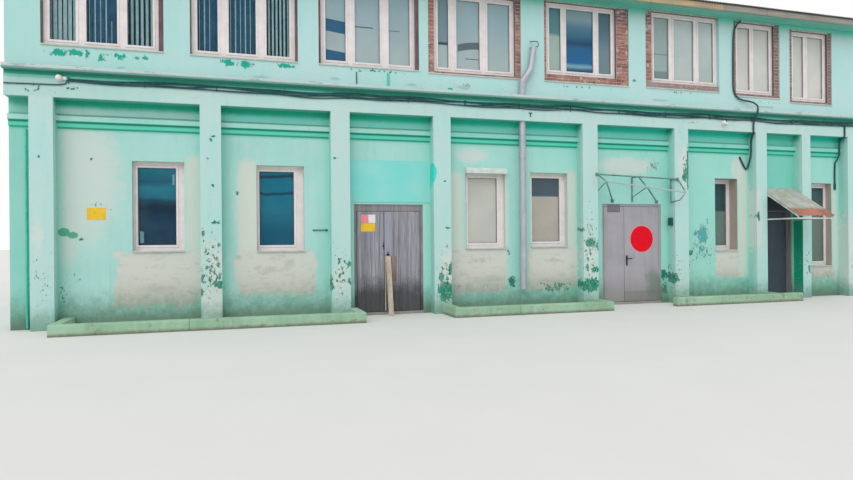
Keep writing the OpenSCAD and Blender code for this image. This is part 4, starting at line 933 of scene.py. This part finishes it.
def sweptStrands():
    # round strands along rows of joined points
    sheet, given = nodeTree("sweptStrands", Paths="Geometry", Radius="Float", Sides="Int", Finish="Material")
    route = sheet.grow("MeshToCurve", Mesh=given.Paths)
    ring = sheet.grow("CurvePrimitiveCircle", Resolution=given.Sides, Radius=given.Radius)
    tube = sheet.grow("CurveToMesh", Curve=route, Profile_Curve=ring, Fill_Caps=True)
    return closeTree(sheet, sheet.grow("SetShadeSmooth", Geometry=tube, Shade_Smooth=True), given.Finish)


def wavySheets():
    # thick sheets with waves across X, one on every place
    sheet, given = nodeTree("wavySheets", Places="Geometry", Width="Float", Length="Float", Pitch="Float",
                            Height="Float", Thickness="Float", Steps="Int", Finish="Material")
    grid = sheet.grow("MeshGrid", Size_X=given.Width, Size_Y=given.Length, Vertices_X=given.Steps, Vertices_Y=3)
    across = sheet.split(sheet.grow("InputPosition"))[0]
    angle = (across + given.Width * 0.5) / given.Pitch * (2 * math.pi)
    lift = sheet.add("ShaderNodeCombineXYZ", None, {"Z": sheet.maths("COSINE", angle) * given.Height * 0.5})
    waved = sheet.grow("SetPosition", Geometry=grid, Offset=lift)
    thick = sheet.grow("ExtrudeMesh", settings={"mode": "FACES"}, Mesh=waved, Offset=(0, 0, 1),
                       Offset_Scale=given.Thickness, Individual=False)
    join = sheet.tree.nodes.new("GeometryNodeJoinGeometry")
    for part in (thick, sheet.grow("FlipFaces", Mesh=waved)):
        sheet.plug(part, join.inputs[0])
    closed = sheet.grow("MergeByDistance", Geometry=Wire(sheet, join.outputs[0]), Distance=0.0002)
    spin = sheet.add("FunctionNodeEulerToRotation", None, {0: shared(sheet, "turn")})
    return closeTree(sheet, sheet.grow("InstanceOnPoints", Points=given.Places, Instance=closed, Rotation=spin),
                     given.Finish)


trees = {"laid": laidParts(), "swept": sweptStrands(), "wavy": wavySheets()}


def grown(name, treeKey, values, points, edges=(), vectors=None):
    # runs a tree on a mesh of places or paths and returns the plain mesh it makes
    mesh = bpy.data.meshes.new(name + "Places")
    mesh.from_pydata(points, edges, [])
    for key, rows in (vectors or {}).items():
        mesh.attributes.new(key, "FLOAT_VECTOR", "POINT").data.foreach_set("vector", [v for row in rows for v in row])
    holder = placed(name + "Places", mesh)
    modifier = holder.modifiers.new("made", "NODES")
    modifier.node_group = trees[treeKey]
    for item in trees[treeKey].interface.items_tree:
        if item.in_out == "INPUT" and item.name in values:
            modifier[item.identifier] = values[item.name]
    ready = holder.evaluated_get(bpy.context.evaluated_depsgraph_get())
    plain = bpy.data.meshes.new_from_object(ready)
    bpy.data.objects.remove(holder)
    for layer in [a.name for a in plain.attributes if a.name in ("size", "turn")]:
        plain.attributes.remove(plain.attributes[layer])
    return plain


def layParts(name, rows, size, edge, key, body="building", shift=(0, 0, 0), twist=(0, 0, 0), seed=1):
    # a chamfered block of that size on every row's place; rows are (place, share of the size, turn)
    part = Shape()
    part.block([-s / 2 for s in size], [s / 2 for s in size], edge)
    master = placed(name + "Part", part.mesh(name + "Part"))
    places, sizes, turns = zip(*rows)
    plain = grown(name, "laid", {
        "Part": master, "Shift": shift, "Twist": twist, "Seed": seed, "Finish": finishes[key]},
        places, vectors={"size": sizes, "turn": turns})
    bpy.data.objects.remove(master)
    finished(name, plain, key, body)


def sweep(name, paths, radius, sides, key, body="building", replaced=()):
    points, edges = [], []
    for path in paths:
        edges += [(len(points) + i, len(points) + i + 1) for i in range(len(path) - 1)]
        points += path
    plain = grown(name, "swept", {"Radius": radius, "Sides": sides, "Finish": finishes[key]}, points, edges)
    finished(name, plain, key, body, replaced)


def layWaves(name, node, places, tilt, width, length, waves, key):
    # waved sheets in a node's place, tilted round X
    plain = grown(name, "wavy", {
        "Width": width, "Length": length, "Pitch": waves["pitch"], "Height": waves["height"],
        "Thickness": waves["thickness"], "Steps": waves["steps"], "Finish": finishes[key]},
        places, vectors={"turn": [(tilt, 0, 0)] * len(places)})
    finished(name, smoothed(plain, 40), key, replaced=(node,))


# roof sheets: two rows on each slope, lapped, on battens over the fascias
roofing = {
    "pitch": 0.075, "height": 0.018, "thickness": 0.0025, "steps": 73, "waves": 12, "columns": 22, "overlap": 0.15,
    "reach": 5.14, "side": 0.15, "lap": 0.0018, "gap": 0.001,
    "batten": 0.022, "battenReaches": (5.085, 4.55, 3.6, 2.62, 1.6, 0.6), "battenBack": 0.025, "battenFront": 0.03,
    "battenEdge": 0.002, "off": 0.0008,
    "vergeReach": 5.04, "vergeLength": 5.0, "vergeWidth": 0.04,
}
slope = plan["roofPitch"]
roofSides = (leftEnd - roofing["side"], rightEnd + roofing["side"])


def roofHeight(reach):
    return plan["eavesTop"] + (plan["eavesReach"] - reach) * math.tan(slope)


def onSlope(reach, side):
    return Matrix.Translation((0, -reach * side, roofHeight(reach))) @ Matrix.Rotation(slope * side, 4, "X")


def roofPiece(name, side, node):
    width = roofing["waves"] * roofing["pitch"]
    rowLength = (roofing["reach"] / math.cos(slope) + roofing["overlap"]) / 2
    places = []
    for row in range(2):
        alongMiddle = rowLength / 2 + row * (rowLength - roofing["overlap"])  # from the eaves up the slope
        reach = roofing["reach"] - alongMiddle * math.cos(slope)
        for column in range(roofing["columns"]):
            lift = roofing["batten"] + roofing["height"] / 2 + roofing["gap"] + (row * 2 + column % 2) * roofing["lap"]
            x = roofSides[0] + width / 2 + column * (roofing["waves"] - 1) * roofing["pitch"]
            places.append((x, -reach * side, roofHeight(reach) + lift / math.cos(slope)))
    layWaves(name, node, places, slope * side, width, rowLength, roofing, "roofSheets")


roofPiece("roof_sheets_front", 1, "front_roof")
roofPiece("roof_sheets_back", -1, "back_roof")

battens = Shape()
for side in (1, -1):
    for reach in roofing["battenReaches"]:
        back = 0.0 if reach == roofing["battenReaches"][0] else roofing["battenBack"]
        battens.block((roofSides[0], -back, roofing["off"]), (roofSides[1], roofing["battenFront"], roofing["batten"]),
                      roofing["battenEdge"], onSlope(reach, side))
    length = roofing["vergeLength"] / math.cos(slope) * side
    for x in (roofSides[0], roofSides[1] - roofing["vergeWidth"]):
        battens.block((x, min(0, length), roofing["off"]),
                      (x + roofing["vergeWidth"], max(0, length), roofing["batten"]),
                      roofing["battenEdge"], onSlope(roofing["vergeReach"], side))
finished("roof_battens", battens.mesh("roof_battens"), "battenWood")
print("roof made")

# bricks beside the newer upper frames, and painted strips beside the first three
brick = {"length": 0.25, "thick": 0.03, "height": 0.065, "edge": 0.004, "joint": 0.01, "proud": 0.005, "face": -4.665,
         "shift": 0.13, "side": 0.004, "ends": 0.002, "leastLength": 0.025, "leastHeight": 0.02}
strip = {"side": 0.001, "proud": 0.004, "back": 0.01, "edge": 0.003}


def brickRows(x0, x1, z0, z1, shifted):
    rows, row, z = [], 0, z0 + brick["ends"]
    y = brick["face"] + brick["thick"] / 2 - brick["proud"]
    while z < z1 - brick["leastHeight"]:
        high = min(z + brick["height"], z1 - brick["ends"])
        x = x0 - (0.0 if (row + shifted) % 2 else brick["shift"])
        while x < x1:
            a, b = max(x, x0 + brick["side"]), min(x + brick["length"], x1 - brick["side"])
            if b - a > brick["leastLength"]:
                rows.append((((a + b) / 2, y, (z + high) / 2),
                             ((b - a) / brick["length"], 1, (high - z) / brick["height"]), (0, 0, 0)))
            x += brick["length"] + brick["joint"]
        z += brick["height"] + brick["joint"]
        row += 1
    return rows


bricks, strips = [], Shape()
for i, place, width, sill, head, inset, frameWidth, frameLow, _, _ in upperWindows:
    left = pilasterLeft(i) + place
    frameLeft, frameRight, right = left + inset, left + inset + frameWidth, left + width
    if i < 3:
        for x0, x1 in ((left, frameLeft), (frameRight, right)):
            strips.block((x0 + strip["side"], brick["face"] - strip["proud"], sill + strip["side"]),
                         (x1 - strip["side"], brick["face"] + strip["back"], head - strip["side"]), strip["edge"])
        continue
    bricks += brickRows(left, frameLeft, sill, head, i) + brickRows(frameRight, right, sill, head, i + 1)
    if frameLow > sill + 0.03:
        bricks += brickRows(frameLeft, frameRight, sill, frameLow, i + 1)
finished("window_strips", strips.mesh("window_strips"), "stripPaint")
layParts("brick_faces", bricks, (brick["length"], brick["thick"], brick["height"]), brick["edge"], "brickFaces",
         shift=(0.001, 0.002, 0.0015), twist=(0.008, 0.006, 0.008), seed=5)
print("bricks laid:", len(bricks))

# a raised sash and a dark gasket round every light, as (way in, way out from the frame's face) points
sash = {
    "width": 0.042,
    "rim": [(0, 0.0005), (0.004, 0.012), (0.038, 0.012), (0.042, 0.006), (0.042, -0.012), (0, -0.004)],
    "gasket": [(0, -0.02), (0.006, -0.022), (0.006, -0.026), (0, -0.026)],
}
for tag, lights, out in (("front", frontLights, -1), ("back", backLights, 1)):
    rim, gasket = Shape(), Shape()
    for left, right, low, high, face in lights:
        wide = sash["width"]
        rim.border(left - wide, right + wide, low - wide, high + wide,
                   [(way, face + out * y) for way, y in sash["rim"]])
        gasket.border(left, right, low, high, [(way, face + out * y) for way, y in sash["gasket"]])
    finished("window_sashes_" + tag, rim.mesh("sash"), "windowPlastic")
    finished("window_gaskets_" + tag, gasket.mesh("gasket"), "gasketRubber")
print("sashes made:", len(frontLights) + len(backLights))

# boards of the wooden door, on both leaves
woodDoor = {"left": bayLeft(2) + 0.11, "width": 1.36, "jamb": 0.05, "gap": 0.008, "leftLeaf": 0.525, "low": 0.058,
            "high": 1.972, "proud": 0.004, "board": (0.09, 0.016, 1.9), "boardEdge": 0.0025, "joint": 0.005}
leafInset = woodDoor["jamb"] + woodDoor["gap"]
splitLeft = woodDoor["left"] + leafInset + woodDoor["leftLeaf"]


def doorBoards(name, body, x0, x1, count, seed):
    rng = random.Random(seed)
    rows, width = [], (x1 - x0) / count
    size = ((width - woodDoor["joint"]) / woodDoor["board"][0], 1,
            (woodDoor["high"] - woodDoor["low"] - 0.006) / woodDoor["board"][2])
    for i in range(count):
        y = leafFace + woodDoor["proud"] + rng.uniform(-0.0012, 0.0012)
        rows.append(((x0 + (i + 0.5) * width, y, (woodDoor["low"] + woodDoor["high"]) / 2), size, (0, 0, 0)))
    layParts(name, rows, woodDoor["board"], woodDoor["boardEdge"], "doorWood", body,
             twist=(0, 0.0006, 0.004), seed=seed)


doorBoards("wood_boards_left", "wood_left_door", woodDoor["left"] + leafInset, splitLeft, 6, 3)
doorBoards("wood_boards_right", "wood_right_door", splitLeft + woodDoor["gap"],
           woodDoor["left"] + woodDoor["width"] - leafInset, 8, 4)

# strands of cable along the beam, clipped under the ledge, and the cables that join them
cables = {"radius": 0.0105, "low": 4.05, "strands": 5, "spread": 0.021, "step": 0.12, "clips": 15, "clipStep": 1.15,
          "slack": 0.018, "start": pilasterLeft(0) + 0.57, "face": plan["pilasterFace"] - 0.013}
cableRng = random.Random(11)
paths = []
for strand in range(cables["strands"]):
    start, end = cables["start"] + 0.01 * strand, rightEnd - 0.01
    steps, phase, path = int((end - start) / cables["step"]), cableRng.uniform(0, 6), []
    for i in range(steps + 1):
        x = start + (end - start) * i / steps
        spread = min(1.0, 0.35 + (x - start) / 3.0)
        sag = math.sin(math.pi * (x - start) / cables["clipStep"]) ** 2 * (0.4 + 0.6 * math.sin(phase) ** 2)
        sway = 0.014 * math.sin(x * 1.7 + phase * 2) + 0.008 * math.sin(x * 4.1 + phase)
        z = cables["low"] + 0.034 + (cables["spread"] * (strand - 2) + sway) * spread - sag * cables["slack"]
        path.append((x, cables["face"] - 0.008 * abs(math.sin(x * 0.9 + strand)), z))
    paths.append(path)
paths.append([(x, cables["face"], z) for x, z in (
    (leftEnd + 0.008, 3.985), (-8.7, 3.99), (-8.4, 3.995), (-8.16, 4.0), (-8.07, 4.02), (-8.045, 4.08))])
paths.append([(x, cables["face"] - out, z) for x, out, z in (
    (5.06, 0.0, 4.05), (5.075, 0.01, 4.0), (5.07, 0.015, 3.95))])
clips = [((cables["start"] + 0.02 + i * cables["clipStep"], plan["pilasterFace"] - 0.014, cables["low"] + 0.032),
          (1, 1, 1), (0, 0, 0)) for i in range(cables["clips"])]
sweep("cable_strands", paths, cables["radius"], 6, "cableSheath", replaced=("cable_bundle",))
layParts("cable_clips", clips, (0.012, 0.029, 0.112), 0.004, "cableSheath", twist=(0, 0.08, 0), seed=21)
drops = [
    [(5.53, -4.715, 6.3), (5.43, -4.715, 6.22), (5.35, -4.715, 6.08), (5.325, -4.713, 5.85), (5.315, -4.713, 5.4),
     (5.315, -4.713, 4.85), (5.325, -4.715, 4.72), (5.37, -4.72, 4.61), (5.46, -4.725, 4.54), (5.58, -4.735, 4.505),
     (5.7, -4.76, 4.49), (5.79, -4.81, 4.45), (5.83, -4.87, 4.38), (5.825, -4.893, 4.3), (5.815, -4.89, 4.2),
     (5.81, -4.83, 4.13), (5.81, -4.79, 4.05), (5.81, -4.775, 3.95), (5.81, -4.775, 3.83), (5.835, -4.75, 3.775),
     (5.875, -4.66, 3.74), (5.884, -4.62, 3.6), (5.884, -4.62, 3.4), (5.884, -4.6, 3.25), (5.88, -4.55, 3.1),
     (5.86, -4.53, 3.01), (5.82, -4.525, 2.98), (5.78, -4.523, 3.03), (5.7, -4.522, 3.17), (5.65, -4.521, 3.26)],
    [(8.5, -4.77, 4.06), (8.5, -4.77, 3.83), (8.505, -4.755, 3.785), (8.52, -4.65, 3.77), (8.53, -4.6, 3.7),
     (8.53, -4.6, 3.4), (8.5, -4.57, 3.28), (8.48, -4.524, 3.2), (8.47, -4.521, 3.0), (8.47, -4.521, 2.66)],
]
sweep("cable_drops", drops, 0.019, 10, "darkCableSheath")
loops = [[(0.31, -4.7, 5.41), (0.36, -4.76, 5.405), (0.43, -4.79, 5.395), (0.462, -4.77, 5.35), (0.44, -4.79, 5.3),
          (0.37, -4.77, 5.285), (0.3, -4.7, 5.285)],
         [(-3.245, -4.702, 4.302), (-3.246, -4.703, 4.45), (-3.245, -4.702, 4.56)]]
sweep("wall_wires", loops, 0.009, 8, "darkCableSheath")
sweep("wall_stub", [[(-2.643, -4.706, 4.302), (-2.643, -4.706, 4.57)]], 0.02, 12, "conduitPaint")
sweep("corner_conduit", [[(-8.71, -4.53, 0.03), (-8.71, -4.53, 1.2), (-8.712, -4.53, 2.4), (-8.71, -4.53, 3.3)]],
      0.017, 12, "conduitPaint")


def blocksOn(name, key, body, face, rows, start=0.0):
    # flat blocks on a face, as rows of (x0, x1, z0, z1, front's way out, back's way out, edge)
    shape = Shape()
    for x0, x1, z0, z1, out, back, edge in rows:
        shape.block((start + x0, face - out, z0), (start + x1, face - back, z1), edge)
    finished(name, shape.mesh(name), key, body)


blocksOn("wall_irons", "darkCableSheath", "building", bayFace, [
    (0.243, 0.313, 3.95, 3.966, 0.268, 0.249, 0.003), (0.27, 0.286, 3.875, 3.955, 0.264, 0.249, 0.003),
    (-4.06, -3.8, 1.612, 1.628, 0.026, 0.014, 0.003), (-3.82, -3.785, 1.602, 1.636, 0.03, -0.002, 0.003),
    (-4.05, -4.03, 1.608, 1.632, 0.018, -0.002, 0.003)])
print("cables run:", len(paths) + len(drops) + len(loops))

# the side door's canopy sheet, waved lengthwise with its slope
canopy = {"wall": 2.56, "front": 1.87, "reach": 1.1, "edge": 0.012, "waves": 6, "height": 0.012, "thickness": 0.002,
          "steps": 61, "lift": 0.0085}
canopyWide = plan["bays"][6] - 2 * canopy["edge"]
canopy["pitch"] = canopyWide / canopy["waves"]
fall = math.atan2(canopy["wall"] - canopy["front"], canopy["reach"])
canopyMiddle = (bayLeft(6) + plan["bays"][6] / 2, bayFace - canopy["reach"] / 2,
                (canopy["wall"] + canopy["front"]) / 2 + canopy["lift"])
layWaves("canopy_waves", "side_canopy_sheet", [canopyMiddle], fall, canopyWide, canopy["reach"] / math.cos(fall),
         canopy, "canopySheet")
print("canopy sheet made")

# bare plates with four screw heads, flat on a face: middle, half width and half height
plateMaking = {"thick": 0.004, "edge": 0.0015, "screwIn": 0.014,
               "screw": [(0.0045, 0.0), (0.0045, 0.001), (0.0025, 0.0018)]}
boardFace = leafFace - woodDoor["proud"]
plates = [
    ("pink_plate", "pinkPlate", "door_wood", "wood_left_door", boardFace, -3.075, 1.832, 0.07, 0.08),
    ("white_plate", "whitePlate", "door_wood", "wood_left_door", boardFace, -2.935, 1.832, 0.068, 0.08),
    ("yellow_plate", "yellowPlate", "door_wood", "wood_left_door", boardFace, -3.01, 1.669, 0.136, 0.08),
    ("wall_plate", "yellowPlate", "bay_plaster", "building", bayFace, -7.68, 1.91, 0.145, 0.1),
]
for name, key, slot, body, face, x, z, wide, high in plates:
    shape, front = Shape(), face - plateMaking["thick"]
    shape.block((x - wide, front, z - high), (x + wide, face, z + high), plateMaking["edge"])
    for sx, sz in ((-1, -1), (-1, 1), (1, -1), (1, 1)):
        middle = (x + sx * (wide - plateMaking["screwIn"]), front, z + sz * (high - plateMaking["screwIn"]))
        shape.turned(middle, plateMaking["screw"], 10)
    finished(name, shape.mesh(name), key, body)

# the disc on the steel door and its rim, as (radius, way out) points
discs = [
    ("door_disc", "redPlate", [(0.282, 0.0), (0.282, 0.004), (0.279, 0.006), (0.02, 0.0062)]),
    ("door_disc_rim", "pinkPlate", [(0.294, 0.0), (0.294, 0.002), (0.278, 0.003)]),
]
for name, key, section in discs:
    shape = Shape()
    shape.turned((3.052, leafFace, 1.405), section, 72)
    finished(name, smoothed(shape.mesh(name), 30), key, "steel_main_door")

# the steel door: louvre on the side leaf, cover strip at the split, pressed seams on the main leaf
louvre = {"x": 2.36, "z": 2.066, "wide": 0.155, "high": 0.083, "slats": 6, "step": 0.0232, "tilt": -0.6,
          "rim": [(0, 0.0), (0, 0.005), (0.012, 0.006), (0.014, 0.0)], "slat": (0.141, 0.0008, 0.011)}
shape = Shape()
shape.border(louvre["x"] - louvre["wide"], louvre["x"] + louvre["wide"], louvre["z"] - louvre["high"],
             louvre["z"] + louvre["high"], [(way, leafFace - out) for way, out in louvre["rim"]])
for i in range(louvre["slats"]):
    place = Matrix.Translation((louvre["x"], leafFace - 0.004, louvre["z"] - 0.058 + i * louvre["step"]))
    shape.block([-s for s in louvre["slat"]], louvre["slat"], 0.0004, place @ Matrix.Rotation(louvre["tilt"], 4, "X"))
finished("louvre", shape.mesh("louvre"), "louvreSteel", "steel_side_door")
blocksOn("steel_cover_strip", "steelDoorPaint", "steel_side_door", leafFace, [
    (2.555, 2.5985, 0.06, 2.095, 0.005, 0, 0.002)])
blocksOn("steel_seams", "steelDoorPaint", "steel_main_door", leafFace, [
    (2.64, 3.465, 0.685, 0.7, 0.0025, 0, 0.001), (2.64, 3.465, 0.27, 0.284, 0.0015, 0, 0.0007)])

# the wooden door: strips and board on the right leaf, hasp, padlock; X counts from the split
blocksOn("wood_cover_strip", "paleStripWood", "wood_right_door", boardFace, [
    (0.008, 0.15, 1.13, 1.965, 0.012, 0, 0.003)], splitLeft)
blocksOn("wood_thin_strip", "propWood", "wood_right_door", boardFace, [
    (0.009, 0.032, 0.07, 1.105, 0.01, 0, 0.003)], splitLeft)
blocksOn("wood_brown_board", "brownBoardWood", "wood_right_door", boardFace, [
    (0.145, 0.24, 0.64, 1.115, 0.006, 0, 0.002)], splitLeft)
blocksOn("wood_hasp", "darkSteel", "wood_left_door", boardFace, [
    (-0.014, -0.002, 1.24, 1.38, 0.006, 0, 0.002), (-0.03, -0.003, 1.29, 1.33, 0.004, 0, 0.0015)], splitLeft)
blocksOn("wood_padlock", "darkSteel", "wood_right_door", boardFace, [
    (0.0445, 0.0995, 1.122, 1.16, 0.036, 0.012, 0.006)], splitLeft)
shackle = [(-2.644, 1.15), (-2.644, 1.178), (-2.636, 1.19), (-2.62, 1.19), (-2.612, 1.178), (-2.612, 1.15)]
sweep("padlock_shackle", [[(x, boardFace - 0.024, z) for x, z in shackle]], 0.004, 8, "darkSteel",
      "wood_right_door")
blocksOn("cable_end_box", "switchPlastic", "building", bayFace, [
    (8.445, 8.5, 2.55, 2.7, 0.035, 0, 0.006), (8.452, 8.493, 2.57, 2.68, 0.041, 0.035, 0.003)])
print("fittings made")

# blinds behind the panes: light, cloth, share of its height that is covered, step, slat width, turn
blinds = [
    (6, "blind", 1, 0.074, 0.056, 0.25), (7, "navyBlind", 1, 0.06, 0.062, 0.35), (8, "blind", 1, 0.079, 0.043, 0.2),
    (9, "navyBlind", 1, 0.06, 0.062, 0.3), (10, "navyBlind", 1, 0.066, 0.068, 0.35),
    (11, "blind", 1, 0.068, 0.034, 0.2), *[(light, "creamBlind", 1, 0.07, 0.078, 0.12) for light in range(24, 28)],
    (2, "creamBlind", 1, 0.1, 0.11, 0.08), (3, "creamBlind", 0.72, 0.1, 0.11, 0.08),
    (4, "blind", 0.55, 0.09, 0.1, 0.1), (5, "blind", 0.6, 0.09, 0.1, 0.1),
]
hang = {"back": 0.1, "stagger": 0.004, "rim": 0.02, "edgeBack": 0.088, "edgeIn": 0.03, "edgeStep": 0.085}
blindRng = random.Random(8)
slats = {}
for index, key, share, step, width, turnReach in blinds:
    left, right, low, high, face = frontLights[index]
    bottom, top = low - hang["rim"], low + (high - low) * share + hang["rim"]
    for i in range(int((right - left + 0.1) / step) + 1):
        place = (left - hang["rim"] + i * step, face + hang["back"] + i % 2 * hang["stagger"], (bottom + top) / 2)
        slats.setdefault(key, []).append(
            (place, (width, 1, top - bottom), (0, 0, blindRng.uniform(-turnReach, turnReach))))
    if key == "navyBlind":  # thin pale strips of different heights: painted highlights where the blind's edges catch the light
        for i in range(int((right - left) / hang["edgeStep"])):
            tall = (top - bottom) * (1 if index != 7 else blindRng.choice((0.3, 0.45, 0.55, 0.95)))
            place = (left + hang["edgeIn"] + i * hang["edgeStep"], face + hang["edgeBack"], bottom + tall / 2)
            slats.setdefault("blind", []).append((place, (0.011 + 0.008 * (i % 2), 1, tall), (0, 0, 0)))
for key, rows in slats.items():
    layParts("blinds_" + key, rows, (1, 0.002, 1), 0.0005, key + "Cloth", seed=31)
print("blinds hung:", sum(len(rows) for rows in slats.values()))
